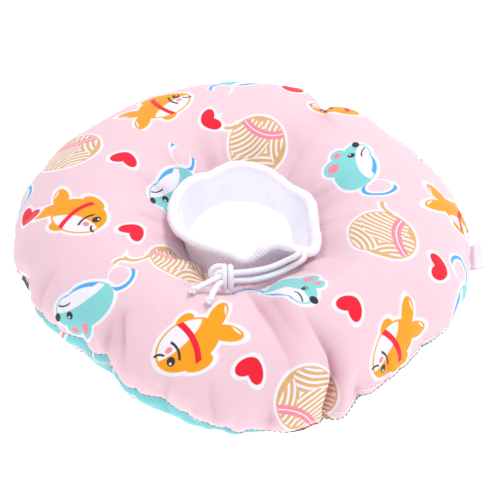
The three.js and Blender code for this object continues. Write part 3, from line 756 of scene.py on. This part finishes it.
def printed_cotton(name, ground, kinds, heart_inks, offset, sizes):
    """Plain-weave cotton with motifs in staggered rows, laid out on the flat cut cloth."""
    finish = Finish(name, 0.88, sheen=0.25)
    source = finish.add("ShaderNodeAttribute", attribute_name="flat_cloth").outputs["Vector"]
    flat = finish.node("ShaderNodeMapping", {
        "Vector": source, "Location": (*offset[:2], 0.0), "Rotation": (0.0, 0.0, math.radians(offset[2])),
        "Scale": (1.0, 1.0, 0.0)})
    cell = (sizes.motif_spacing / MM, sizes.row_spacing / MM, 1.0)
    scaled = finish.node("ShaderNodeVectorMath", {0: flat, 1: cell}, operation="DIVIDE")
    parts = finish.add("ShaderNodeSeparateXYZ", {0: scaled}).outputs
    row = finish.math("FLOOR", parts["Y"])
    stagger = finish.math("MULTIPLY", finish.math("FLOORED_MODULO", row, 2.0), 0.5)
    across = finish.math("ADD", parts["X"], stagger)
    from_row = finish.math("SUBTRACT", finish.math("SUBTRACT", parts["Y"], row), 0.5)

    def cell_places(shift, jitter, size):
        shifted = finish.math("ADD", across, shift)
        column = finish.math("FLOOR", shifted)
        from_column = finish.math("SUBTRACT", finish.math("SUBTRACT", shifted, column), 0.5)
        key = finish.node("ShaderNodeCombineXYZ", {0: column, 1: row, 2: shift})
        chance = finish.add("ShaderNodeTexWhiteNoise", {"Vector": key}, noise_dimensions="3D").outputs
        middle = finish.node("ShaderNodeCombineXYZ", {0: from_column, 1: from_row})
        place = finish.node("ShaderNodeVectorMath", {0: middle, 1: cell}, operation="MULTIPLY")
        step = finish.node("ShaderNodeVectorMath", {
            0: chance["Color"], 1: (2 * jitter, 2 * jitter, 0.0), 2: (-jitter, -jitter, 0.0),
        }, operation="MULTIPLY_ADD")
        return turned(finish, place, chance["Value"], step, size), column, chance["Color"]

    place, column, _ = cell_places(0.0, 2.0, MOTIF_SIZE)
    half_row = finish.math("CEIL", finish.math("MULTIPLY", row, 0.5))
    order = finish.math("SUBTRACT", finish.math("SUBTRACT", column, half_row), row)
    kind = finish.math("FLOORED_MODULO", order, 3.0)
    print_colour = ground
    for number, (motif, inks) in enumerate(kinds):
        chosen = finish.math("COMPARE", kind, float(number), 0.2)
        print_colour = finish.mix(chosen, print_colour, motif(finish, place, ground, inks))
    heart_place, _, heart_chance = cell_places(0.5, 1.0, HEART_SIZE)
    chance = finish.add("ShaderNodeSeparateColor", {0: heart_chance}).outputs[2]
    with_heart = heart(finish, heart_place, print_colour, heart_inks)
    print_colour = finish.mix(finish.math("GREATER_THAN", chance, 0.62), print_colour, with_heart)

    # Painted shade: the print is darkened in the creases, the more the deeper they are, towards a darker
    # tone of its ground colour
    creased = finish.add("ShaderNodeSeparateXYZ", {0: source}).outputs["Z"]
    painted_crease_shade = finish.math("MULTIPLY", creased, 1 / FULLY_SHADED_CREASE, clamp=True)
    painted_crease_shade = finish.mix(painted_crease_shade, (1.0, 1.0, 1.0), tuple(CREASE_SHADE * part**2 for part in ground))
    print_colour = finish.node("ShaderNodeVectorMath", {0: print_colour, 1: painted_crease_shade}, operation="MULTIPLY")
    mottle = finish.node("ShaderNodeTexNoise", {
        "Vector": flat, "Scale": 0.9, "Detail": 3.0, "Roughness": 0.6})
    mottled = finish.node("ShaderNodeHueSaturation", {
        "Value": finish.math("MULTIPLY_ADD", mottle, 0.1, 0.95), "Color": print_colour})
    threads = finish.add("ShaderNodeSeparateXYZ", {0: flat}).outputs
    warp, weft = (finish.math("SINE", finish.math("MULTIPLY", threads[axis], 2 * math.pi / WEAVE_PITCH))
                  for axis in "XY")
    slub = finish.node("ShaderNodeTexNoise", {"Vector": flat, "Scale": 0.55, "Detail": 4.0})
    height = finish.math("MULTIPLY_ADD", finish.math("MULTIPLY", warp, weft), 0.5,
                         finish.math("MULTIPLY", slub, 2.0))
    return finish.done(mottled, height, 0.6, 0.16)


def cloth_uv(finish):
    """The two texture places of the knit or the cord: X and Y."""
    uv = finish.node("ShaderNodeUVMap", uv_map="cloth")
    return finish.add("ShaderNodeSeparateXYZ", {0: uv}).outputs


def knit_finish(colours, sizes):
    """Soft white rib knit: small loops on each rib, and a little painted shade between the ribs."""
    finish = Finish("white rib knit", 0.92, sheen=0.35)
    # Painted light: the knit gives off a faint glow in its own colour, which lifts its shade
    finish.shader.inputs["Emission Color"].default_value = (*colours.knit, 1.0)
    finish.shader.inputs["Emission Strength"].default_value = KNIT_GLOW
    places = cloth_uv(finish)
    ribs = finish.math("MULTIPLY", places["X"], 2 * math.pi * sizes.rib_count)
    slant = finish.math("ABSOLUTE", finish.math("SINE", finish.math("MULTIPLY", ribs, 0.5)))
    loops = finish.math("SINE", finish.math("MULTIPLY_ADD", places["Y"], 2 * math.pi / LOOP_PITCH * UV_SCALE,
                                            finish.math("MULTIPLY", slant, 3.0)))
    # Painted shade: the knit is a little darker in the grooves between the ribs
    shade = finish.math("MULTIPLY_ADD", finish.math("COSINE", ribs), 0.5, 0.5)
    tone = finish.mix(finish.math("POWER", shade, 0.6), 0.9 * colours.knit, colours.knit)
    fuzz = finish.node("ShaderNodeTexNoise", {
        "Vector": finish.add("ShaderNodeTexCoord").outputs["Object"], "Scale": 900.0, "Detail": 3.0})
    height = finish.math("ADD", finish.math("MULTIPLY", loops, 0.4), fuzz)
    return finish.done(tone, height, 0.3, 0.25)


def cord_finish(colours):
    """Round braided cord: a fine herringbone of yarns over a soft core."""
    finish = Finish("white cord", 0.75, sheen=0.3)
    places = cloth_uv(finish)
    along = finish.math("MULTIPLY", places["X"], 2 * math.pi / 1.5)
    around = finish.math("MULTIPLY", places["Y"], 2 * math.pi * 8)
    weave = finish.math("MULTIPLY", *(
        finish.math("SINE", finish.math(step, along, around)) for step in ("ADD", "SUBTRACT")))
    tone = finish.mix(finish.math("MULTIPLY_ADD", weave, 0.3, 0.7), 0.86 * colours.cord, colours.cord)
    return finish.done(tone, weave, 0.45, 0.12)


def plain_finish(name, ink, roughness, scale, strength, depth):
    """A plain surface with fine grain in its tone and relief."""
    finish = Finish(name, roughness, sheen=0.2)
    place = finish.add("ShaderNodeTexCoord").outputs["Object"]
    grain = finish.node("ShaderNodeTexNoise", {"Vector": place, "Scale": scale, "Detail": 4.0})
    return finish.done(finish.mix(grain, 0.93 * ink, ink), grain, strength, depth)


def tape_finish(colours):
    """Bare satin tape: fine cross threads with a soft gloss, and deeper in tone next to the seam."""
    finish = Finish("white tape", 0.45, sheen=0.1)
    place = finish.add("ShaderNodeTexCoord").outputs["Object"]
    waves = finish.add("ShaderNodeTexWave", {
        "Vector": place, "Scale": 900.0, "Distortion": 0.6, "Detail": 1.0}, bands_direction="Y").outputs[1]
    from_seam = finish.add("ShaderNodeAttribute", attribute_name="from_seam").outputs["Fac"]
    near_seam = finish.math("MULTIPLY_ADD", from_seam, -0.5, 1.9, clamp=True)
    ground = finish.mix(near_seam, colours.tape, colours.tape_edge)
    threads = finish.math("MULTIPLY_ADD", waves, 0.1, 0.93)
    tone = finish.node("ShaderNodeHueSaturation", {"Value": threads, "Color": ground})
    return finish.done(tone, threads, 0.25, 0.08)


def channel_point(angle):
    """Middle of the drawstring's channel in the folded rim, in millimetres from the neck axis."""
    outward = np.ones_like(angle)
    rise = np.ones_like(angle)
    for middle, out_share, rise_share, width in RIM_FOLDS:
        near = bell(turn_between(middle, angle), width)
        outward = outward + out_share * near
        rise = rise + rise_share * near
    turn = np.radians(angle)
    return np.stack((
        RIM_SHIFT[0] + RIM_HALF_WIDTH * outward * np.cos(turn),
        RIM_SHIFT[1] + RIM_HALF_DEPTH * outward * np.sin(turn),
        RIM_HEIGHT * rise - RIM_FOLD_RADIUS,
    ), axis=-1)


def rim_frame(angle):
    """Directions across the rim: outward and upward, square to the channel."""
    along = unit(channel_point(angle + 1) - channel_point(angle - 1))
    outward = unit(np.cross(along, np.array((0.0, 0.0, 1.0))))
    return outward, np.cross(outward, along)


def knit_face(angle, rise, aside):
    """A line up the knit from its foot to the channel, some distance out from its middle."""
    foot_radius = neck_radius(angle) - KNIT_GAP - KNIT_WALL - LAYER_GAP / 2 + SEWN_SPREAD
    turn = np.radians(angle)
    radial = about_axis(1.0, turn, 0.0)
    foot = about_axis(foot_radius, turn, NECK_SEAM_HEIGHT - KNIT_TUCK)
    rim = channel_point(angle)
    lean = rise**FLARE_POWER
    middle = foot + (rim - foot) * np.array((lean, lean, rise))
    outward = unit(radial * (1 - rise) + rim_frame(angle)[0] * rise)
    return middle + outward * aside


def channel_arc(angle, radius, swing):
    """A line round the rim at one swing about the channel, from outward at 0 to upward at 90."""
    outward, upward = rim_frame(angle)
    turn = math.radians(swing)
    return channel_point(angle) + radius * (outward * math.cos(turn) + upward * math.sin(turn))


def carried_frames(points):
    """Two directions square to a line at each of its points, carried along it without twist."""
    along = unit(np.gradient(points, axis=0))
    start = np.cross(along[0], (0.0, 0.0, 1.0))
    side = start / np.linalg.norm(start)
    sides = []
    for direction in along:
        side = side - direction * (side @ direction)
        side = side / np.linalg.norm(side)
        sides.append(side)
    sides = np.array(sides)
    return sides, np.cross(along, sides)


def smooth_line(points, step, closed=False):
    """Points about a step apart on one smooth curve through the given points."""
    points = np.array(points, float)
    if closed:
        padded = np.vstack((points[-2:], points, points[:3]))
        first, last = 2, len(points) + 2
    else:
        padded = np.vstack((2 * points[0] - points[1], points, 2 * points[-1] - points[-2]))
        first, last = 1, len(points)
    rows = []
    for index in range(first, last):
        before, start, end, after = padded[index - 1:index + 3]
        for share in np.linspace(0, 1, 24, endpoint=False):
            rows.append(0.5 * (2 * start + (end - before) * share
                               + (2 * before - 5 * start + 4 * end - after) * share**2
                               + (3 * start - before - 3 * end + after) * share**3))
    rows.append(padded[last])
    rows = np.array(rows)
    run = run_along(rows)
    count = max(4, int(round(run[-1] / step)) + 1)
    even = np.linspace(0, run[-1], count)
    return np.stack([np.interp(even, run, rows[:, axis]) for axis in range(3)], axis=1)


def tube_parts(line, radius, sides):
    """Vertices, faces and corner places of a round tube along a line, with closed round ends."""
    run = run_along(line)
    side, up = carried_frames(line)
    along = unit(np.gradient(line, axis=0))
    rounding = [(0.55, 0.55), (0.88, 0.3)]
    rings = [(0, radius * size, -ahead * radius) for size, ahead in rounding]
    rings += [(index, radius, 0.0) for index in range(len(line))]
    rings += [(-1, radius * size, ahead * radius) for size, ahead in rounding[::-1]]
    swing = np.arange(sides)[:, None] * 2 * np.pi / sides
    vertices = [line[index] + along[index] * ahead
                + size * (np.cos(swing) * side[index] + np.sin(swing) * up[index])
                for index, size, ahead in rings]
    lengths = [run[index] + ahead for index, _, ahead in rings]
    first_pole = len(rings) * sides
    last = first_pole - sides
    pole = along * 0.65 * radius
    vertices = np.vstack((*vertices, line[0] - pole[0], line[-1] + pole[-1]))
    faces = []
    corners = []
    for place in range(sides):
        ahead = (place + 1) % sides
        low, high = place / sides, (place + 1) / sides
        for ring in range(len(rings) - 1):
            here = ring * sides
            faces.append((here + place, here + ahead, here + sides + ahead, here + sides + place))
            back, front = lengths[ring:ring + 2]
            corners += [(back, low), (back, high), (front, high), (front, low)]
        faces += [(first_pole, ahead, place), (first_pole + 1, last + place, last + ahead)]
        for end, start_side, end_side in ((lengths[0], high, low), (lengths[-1], low, high)):
            corners += [(end, (low + high) / 2), (end, start_side), (end, end_side)]
    return vertices, faces, corners


def tube_object(name, tubes):
    """One mesh of several round tubes, each (line, radius, sides)."""
    all_vertices = []
    all_faces = []
    all_corners = []
    first = 0
    for line, radius, sides in tubes:
        vertices, faces, corners = tube_parts(line, radius, sides)
        all_vertices.append(vertices)
        all_faces += [tuple(first + corner for corner in face) for face in faces]
        all_corners += corners
        first += len(vertices)
    piece = add_piece(name, np.concatenate(all_vertices), all_faces, all_corners)
    shape = bmesh.new()
    shape.from_mesh(piece.data)
    bmesh.ops.recalc_face_normals(shape, faces=shape.faces)
    shape.to_mesh(piece.data)
    shape.free()
    piece.data.update()
    return piece


def from_knot(x, up, near):
    """A point of the knot: to the right, up and towards the viewer from its middle."""
    lean = math.radians(CAMERA_ELEVATION)
    upward = np.array((0.0, math.sin(lean), math.cos(lean)))
    towards = np.array((0.0, -math.cos(lean), math.sin(lean)))
    return KNOT_MIDDLE + np.array((x, 0.0, 0.0)) + up * upward + near * towards


def wrap_line(x, half_up, half_near, lean):
    """A loop of cord round the knot's core."""
    swing = np.linspace(0, 2 * np.pi, 16, endpoint=False)
    points = [from_knot(x + lean * math.sin(turn), half_up * math.cos(turn), half_near * math.sin(turn))
              for turn in swing]
    return smooth_line(points, 0.7, closed=True)


def trefoil_line(middle, direction, size):
    """A small overhand knot drawn tight, as a closed curve round a cord's end."""
    turn = Vector((0, 0, 1)).rotation_difference(Vector(direction)).to_matrix()
    swing = np.linspace(0, 2 * np.pi, 60, endpoint=False)
    points = np.stack((
        (np.sin(swing) + 2 * np.sin(2 * swing)) / 3,
        (np.cos(swing) - 2 * np.cos(2 * swing)) / 3,
        -np.sin(3 * swing) * 0.62,
    ), axis=1) * size
    return smooth_line(points @ np.array(turn).T + middle, 0.4, closed=True)


def start_afresh():
    """Nothing is selected and Blender is in object mode."""
    if bpy.context.mode != "OBJECT":
        bpy.ops.object.mode_set(mode="OBJECT")
    bpy.ops.object.select_all(action="DESELECT")


class CollarStage(bpy.types.Operator):
    """Add the camera, the pale floor and the studio light"""

    bl_idname = "collar.stage"
    bl_label = "Stage"

    def execute(self, context):
        colours = context.scene.collar_colours
        lean = math.radians(CAMERA_ELEVATION)
        ahead = np.array((0.0, math.cos(lean), -math.sin(lean)))
        place = (CAMERA_TARGET + NECK_AXIS - CAMERA_DISTANCE * ahead) * MM
        start_afresh()
        bpy.ops.object.camera_add(location=place, rotation=(math.radians(90 - CAMERA_ELEVATION), 0, 0))
        camera = context.object
        camera.name = "camera"
        camera.data.lens = CAMERA_LENS
        camera.data.sensor_width = 36
        camera.data.shift_x, camera.data.shift_y = CAMERA_SHIFT
        context.scene.camera = camera

        start_afresh()
        bpy.ops.mesh.primitive_circle_add(
            vertices=96, radius=4.0, fill_type="NGON", location=(0, 0, -0.0006))
        floor = context.object
        floor.name = "floor"
        paper = plain_finish("pale floor", colours.floor, 0.9, 40.0, 0.02, 0.1)
        glow = paper.node_tree.nodes["Principled BSDF"].inputs
        glow["Emission Color"].default_value = (1.0, 1.0, 1.0, 1.0)
        glow["Emission Strength"].default_value = FLOOR_GLOW
        floor.data.materials.append(paper)

        world = context.scene.world or bpy.data.worlds.new("studio")
        context.scene.world = world
        world.use_nodes = True
        back = world.node_tree.nodes["Background"].inputs
        back["Color"].default_value = (1.0, 0.985, 0.99, 1.0)
        back["Strength"].default_value = WORLD_LIGHT
        for name, spot, size, power in LAMPS:
            start_afresh()
            bpy.ops.object.light_add(type="AREA", location=spot)
            lamp = context.object
            lamp.name = name
            lamp.data.shape = "DISK"
            lamp.data.size = size
            lamp.data.energy = power
            aim = Vector((0, 0, 0.03)) - Vector(spot)
            lamp.rotation_euler = aim.to_track_quat("-Z", "Y").to_euler()
        context.scene.view_settings.view_transform = "Standard"
        return {"FINISHED"}


class CollarDrawstring(bpy.types.Operator):
    """Add the two ends of the drawstring, their knot and the small knots at their tips"""

    bl_idname = "collar.drawstring"
    bl_label = "Drawstring"

    def execute(self, context):
        sizes = context.scene.collar_sizes
        finish = cord_finish(context.scene.collar_colours)
        radius = sizes.cord_diameter / MM / 2
        wraps = [wrap_line(4.9, 6.5, 5.0, 0.4), wrap_line(1.1, 6.7, 5.2, 0.3)]
        crossings = [smooth_line([from_knot(*spot) for spot in spots], 0.7) for spots in KNOT_CROSSINGS]
        knot = tube_object("drawstring_knot_tied", [(line, radius, 12) for line in wraps + crossings])
        wear(knot, finish, "white_cord", "drawstring_knot")
        for index, mouth in enumerate(MOUTH_ANGLES):
            label = index + 1
            start = channel_point(np.array(mouth))
            inside = channel_point(np.array(mouth + (-5.0, 5.0)[index]))
            line = smooth_line([inside, start, *CORD_POINTS[index]], 0.8)
            tip = line[-1]
            onward = unit(tip - line[-3])
            end_knot = tube_object(f"cord_end_knot_{label}", [
                (trefoil_line(tip + onward * 2.9, onward, 1.75), 1.12, 10),
                (np.array([tip + onward * share for share in (4.6, 5.4, 6.2)]), 1.05, 10),
            ])
            wear(end_knot, finish, "white_cord", f"end_knot_{label}")
            cord = tube_object(f"drawstring_end_{label}", [(line, radius, 14)])
            wear(cord, finish, "white_cord", f"drawstring_strand_{label}", f"drawstring_tail_{label}")
        hidden = plain_finish("hidden cord", context.scene.collar_colours.cord, 0.8, 900.0, 0.3, 0.1)
        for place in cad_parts["drawstring_loop"].material_slots:
            place.material = hidden
        return {"FINISHED"}


class CollarRing(bpy.types.Operator):
    """Add the printed top and bottom cloth of the ring and the stuffing inside them"""

    bl_idname = "collar.ring"
    bl_label = "Stuffed Ring"

    def execute(self, context):
        sizes = context.scene.collar_sizes
        inks = context.scene.collar_colours
        shared = {"white": inks.white, "dark": inks.dark, "cheek": inks.rose}
        motifs = (fish_motif, yarn_motif, mouse_motif)
        finishes = []
        for name, ground, coats, accents, offset in (
            ("pink printed cotton", inks.pink, (inks.orange, inks.tan, inks.teal),
             (inks.red, inks.rose, inks.blue), (20.0, 30.0, 24.0)),
            ("aqua printed cotton", inks.aqua, (inks.grey, inks.rose, inks.grey),
             (inks.red, inks.red, inks.red), (5.0, 44.0, -31.0)),
        ):
            kinds = [(motif, {**shared, "coat": coat, "accent": accent})
                     for motif, coat, accent in zip(motifs, coats, accents)]
            hearts = {**shared, "heart": inks.red}
            finishes.append(printed_cotton(name, tuple(ground), kinds, hearts, offset, sizes))
        stuffing = []
        for top, rows, name, finish, slot, node in (
            (True, 100, "top_cloth", finishes[0], "pink_cotton", "top_panel"),
            (False, 76, "bottom_cloth", finishes[1], "aqua_cotton", "bottom_panel"),
        ):
            outer, inward, flat = panel_surface(top, PANEL_COLUMNS, rows, sizes)
            wall = sizes.cloth_wall / MM
            inner = outer + inward * wall
            for end, step in ((0, -wall), (-1, wall)):
                turn = np.arctan2(outer[:, end, 1], outer[:, end, 0])
                inner[:, end] = outer[:, end] + about_axis(step, turn, 0.0)
            chosen = np.unique(np.linspace(0, rows - 1, 26).round().astype(int))[::-1]
            loops = np.concatenate((outer, inner[:, chosen]), axis=1)
            cloth = ring_object(name, loops, flat=np.concatenate((flat, flat[:, chosen]), axis=1))
            wear(cloth, finish, slot, node)
            deep = outer + inward * (wall + 1.2)
            wanted = np.unique(np.linspace(4, rows - 5, 30).round().astype(int))
            stuffing.append(deep[::2, wanted] if top else deep[::2, wanted[::-1]])
        fibre = ring_object("fibre_stuffing", np.concatenate(stuffing, axis=1))
        fluff = plain_finish("fibre filling", inks.white, 1.0, 260.0, 0.8, 0.8)
        wear(fibre, fluff, "fibre_filling", "filling")
        return {"FINISHED"}


class CollarKnit(bpy.types.Operator):
    """Add the doubled rib-knit tube with its folded rim"""

    bl_idname = "collar.knit"
    bl_label = "Rib Knit"

    def execute(self, context):
        sizes = context.scene.collar_sizes
        columns = sizes.rib_count * 6
        angle = np.arange(columns) * 360.0 / columns
        face = LAYER_GAP / 2 + KNIT_WALL
        rises = np.linspace(0, 0.9, 18)
        sides = blend(face, RIM_FOLD_RADIUS * 0.97, np.clip((rises - 0.3) / 0.6, 0, 1) ** 1.5)
        lines = [knit_face(angle, rise, aside) for rise, aside in zip(rises, sides)]
        lines += [channel_arc(angle, RIM_FOLD_RADIUS, swing) for swing in np.linspace(-12, 192, 11)]
        lines += [knit_face(angle, rise, -aside) for rise, aside in zip(rises[::-1], sides[::-1])]
        shown = len(lines)
        hidden = rises[::4]
        lines += [knit_face(angle, rise, -LAYER_GAP / 2) for rise in hidden]
        lines += [channel_arc(angle, CHANNEL_RADIUS, swing) for swing in np.linspace(240, -60, 7)]
        lines += [knit_face(angle, rise, LAYER_GAP / 2) for rise in hidden[::-1]]
        loops = np.stack(lines, axis=1)
        normal = grid_normals(loops)
        middle = (channel_point(angle) + knit_face(angle, 0.0, 0.0)) / 2
        away = loops[:, shown // 4] - middle
        if (normal[:, shown // 4] * away).sum() < 0:
            normal = -normal
        turn = np.radians(angle)
        ribs = np.cos(turn * sizes.rib_count)
        swell = np.zeros(loops.shape[1])
        swell[:shown] = 1.0
        swell[0] = swell[shown - 1] = 0.4
        puckers = np.cos(turn * 37) * 0.5 + np.cos(turn * 23 + 1.3) * 0.5
        at_rim = np.zeros(loops.shape[1])
        at_rim[:shown] = bell(np.arange(shown) - (shown - 1) / 2, 8.0)
        swell = swell * (1 - RIM_RIB_LOSS * at_rim)
        loops = loops + normal * (
            sizes.rib_depth / MM * ribs[:, None] * swell[None, :]
            + PUCKER_HEIGHT * puckers[:, None] * at_rim[None, :])[..., None]
        run = run_along(np.vstack((loops[0], loops[0, :1])))
        uv = np.stack(np.meshgrid(np.arange(columns + 1) / columns, run / UV_SCALE, indexing="ij"), axis=-1)
        knit = ring_object("rib_knit_tube", loops, uv=uv)
        wear(knit, knit_finish(context.scene.collar_colours, sizes), "white_rib_knit", "neck_collar")
        return {"FINISHED"}


class CollarLabel(bpy.types.Operator):
    """Add the bare folded label in the outer seam"""

    bl_idname = "collar.label"
    bl_label = "Side Label"

    def execute(self, context):
        sizes = context.scene.collar_sizes
        start_afresh()
        bpy.ops.mesh.primitive_grid_add(x_subdivisions=30, y_subdivisions=16, size=1.0, location=(0, 0, 0))
        label = context.object
        label.name = "folded_label"
        bend = LABEL_BEND
        straight = sizes.label_reach / MM - bend + LABEL_TUCK
        length = 2 * straight + math.pi * bend
        for vertex in label.data.vertices:
            along = (vertex.co.x + 0.5) * length
            turn = min(max((along - straight) / bend, 0.0), math.pi)
            out = min(along, straight) - LABEL_TUCK - max(0.0, along - straight - math.pi * bend)
            out += bend * math.sin(turn)
            share = out / (sizes.label_reach / MM)
            up = -bend * math.cos(turn) + 1.1 * math.sin(3.6 * vertex.co.y + 0.5) * share + 0.6 * share**2
            vertex.co = (out, vertex.co.y * sizes.label_width / MM, up)
        wall = label.modifiers.new("wall", "SOLIDIFY")
        wall.thickness = LABEL_WALL
        wall.offset = 0
        edges = label.modifiers.new("edges", "BEVEL")
        edges.width = 0.1
        edges.segments = 2
        for name in ("wall", "edges"):
            bpy.ops.object.modifier_apply(modifier=name)
        bpy.ops.object.shade_smooth_by_angle(angle=math.radians(50))
        seam_reach = label.data.attributes.new("from_seam", "FLOAT", "POINT")
        seam_reach.data.foreach_set("value", [vertex.co.x for vertex in label.data.vertices])
        angle = np.array(LABEL_ANGLE)
        radius, height = dented_section(True, angle, np.array(0.0))
        turn = Matrix.Rotation(math.radians(LABEL_ANGLE), 4, "Z")
        tilt = Matrix.Rotation(math.radians(-LABEL_TILT), 4, "Y")
        place = Matrix.Scale(MM, 4) @ Matrix.Translation(NECK_AXIS)
        label.data.transform(place @ turn @ Matrix.Translation((float(radius), 0, float(height))) @ tilt)
        wear(label, tape_finish(context.scene.collar_colours), "white_tape", "side_label")
        return {"FINISHED"}


class CollarStitches(bpy.types.Operator):
    """Add the stitches that close the stuffing gap and the thread in the outer seam"""

    bl_idname = "collar.stitches"
    bl_label = "Stitches"

    def execute(self, context):
        sizes = context.scene.collar_sizes
        colours = context.scene.collar_colours
        outer, inward, flat = panel_surface(True, SEAM_COLUMNS, 40, sizes)
        flat_radius = np.hypot(flat[0, :, 0], flat[0, :, 1])
        row = int(np.argmin(np.abs(flat_radius[0] - flat_radius - CLOSING_ROW)))
        line = outer[:, row] - inward[:, row] * 0.3
        first, last = (int(angle % 360 * SEAM_COLUMNS / 360) for angle in CLOSING_ANGLES)
        self.sew("closing_stitches", line[first:last], -inward[first:last, row],
                 (sizes.stitch_length / MM, *CLOSING_THREAD),
                 plain_finish("pale thread", colours.thread, 0.6, 2600.0, 0.5, 0.05), "pink_cotton")
        seam = outer[:, 0].copy()
        seam[:, 2] -= SEAM_GAP / 2
        turn = np.arctan2(seam[:, 1], seam[:, 0])
        outward = about_axis(1.0, turn, 0.0)
        self.sew("seam_thread", np.vstack((seam, seam[:1])) + 0.1, np.vstack((outward, outward[:1])),
                 SEAM_THREAD,
                 plain_finish("grey thread", colours.grey, 0.6, 2600.0, 0.5, 0.05), "aqua_cotton")
        return {"FINISHED"}

    @staticmethod
    def sew(name, line, outward, thread, finish, slot):
        """A row of equal stitches along a line, each a copy of one rounded thread.

        thread is the length of a stitch, the gap after it and the thread's radius."""
        length, gap, radius = thread
        start_afresh()
        bpy.ops.mesh.primitive_cylinder_add(vertices=8, radius=1.0, depth=2.0, location=(0, 0, 0))
        model = bpy.context.object
        bpy.ops.object.mode_set(mode="EDIT")
        bpy.ops.mesh.select_all(action="DESELECT")
        shape = bmesh.from_edit_mesh(model.data)
        for edge in shape.edges:
            edge.select = abs(edge.verts[0].co.z - edge.verts[1].co.z) < 1e-6
        bmesh.update_edit_mesh(model.data)
        bpy.ops.mesh.bevel(offset=0.45, segments=2, affect="EDGES")
        bpy.ops.object.mode_set(mode="OBJECT")
        base = np.array([vertex.co[:] for vertex in model.data.vertices])
        faces = [tuple(face.vertices) for face in model.data.polygons]
        run = run_along(line)
        vertices = []
        all_faces = []
        for start in np.arange(gap, run[-1] - length, length + gap):
            back, front = (np.array([np.interp(place, run, line[:, axis]) for axis in range(3)])
                           for place in (start, start + length))
            out = np.array([np.interp(start + length / 2, run, outward[:, axis]) for axis in range(3)])
            along = unit(front - back)
            side = unit(np.cross(along, out))
            out = np.cross(side, along)
            bow = radius * 0.5 * (1 - base[:, 2:] ** 2)
            all_faces += [tuple(len(vertices) * len(base) + corner for corner in face) for face in faces]
            vertices.append((back + front) / 2 + base[:, 2:] * np.linalg.norm(front - back) / 2 * along
                            + base[:, :1] * radius * side + (base[:, 1:2] * radius + bow) * out)
        piece = add_piece(name, np.concatenate(vertices), all_faces)
        bpy.data.objects.remove(model)
        wear(piece, finish, slot)


class CollarPanel(bpy.types.Panel):
    """Lists the collar's pieces, sizes and colours"""

    bl_idname = "VIEW3D_PT_collar"
    bl_label = "Recovery Collar"
    bl_space_type = "VIEW_3D"
    bl_region_type = "UI"
    bl_category = "Collar"

    def draw(self, context):
        column = self.layout.column()
        for operator in (CollarStage, CollarDrawstring, CollarRing, CollarKnit, CollarLabel, CollarStitches):
            column.operator(operator.bl_idname)
        for group in (context.scene.collar_sizes, context.scene.collar_colours):
            for name in group.__annotations__:
                column.prop(group, name)


CLASSES = (
    CollarSizes, CollarColours, CollarStage, CollarDrawstring, CollarRing, CollarKnit, CollarLabel,
    CollarStitches, CollarPanel,
)


def register():
    """Adds the classes and the scene's own settings."""
    for cls in CLASSES:
        bpy.utils.register_class(cls)
    bpy.types.Scene.collar_sizes = bpy.props.PointerProperty(type=CollarSizes)
    bpy.types.Scene.collar_colours = bpy.props.PointerProperty(type=CollarColours)


def unregister():
    """Removes them again."""
    del bpy.types.Scene.collar_colours
    del bpy.types.Scene.collar_sizes
    for cls in reversed(CLASSES):
        bpy.utils.unregister_class(cls)


def main():
    """Builds the collar."""
    register()
    bpy.ops.collar.stage()
    bpy.ops.collar.drawstring()
    bpy.ops.collar.ring()
    bpy.ops.collar.knit()
    bpy.ops.collar.label()
    bpy.ops.collar.stitches()


if __name__ == "__main__":
    main()
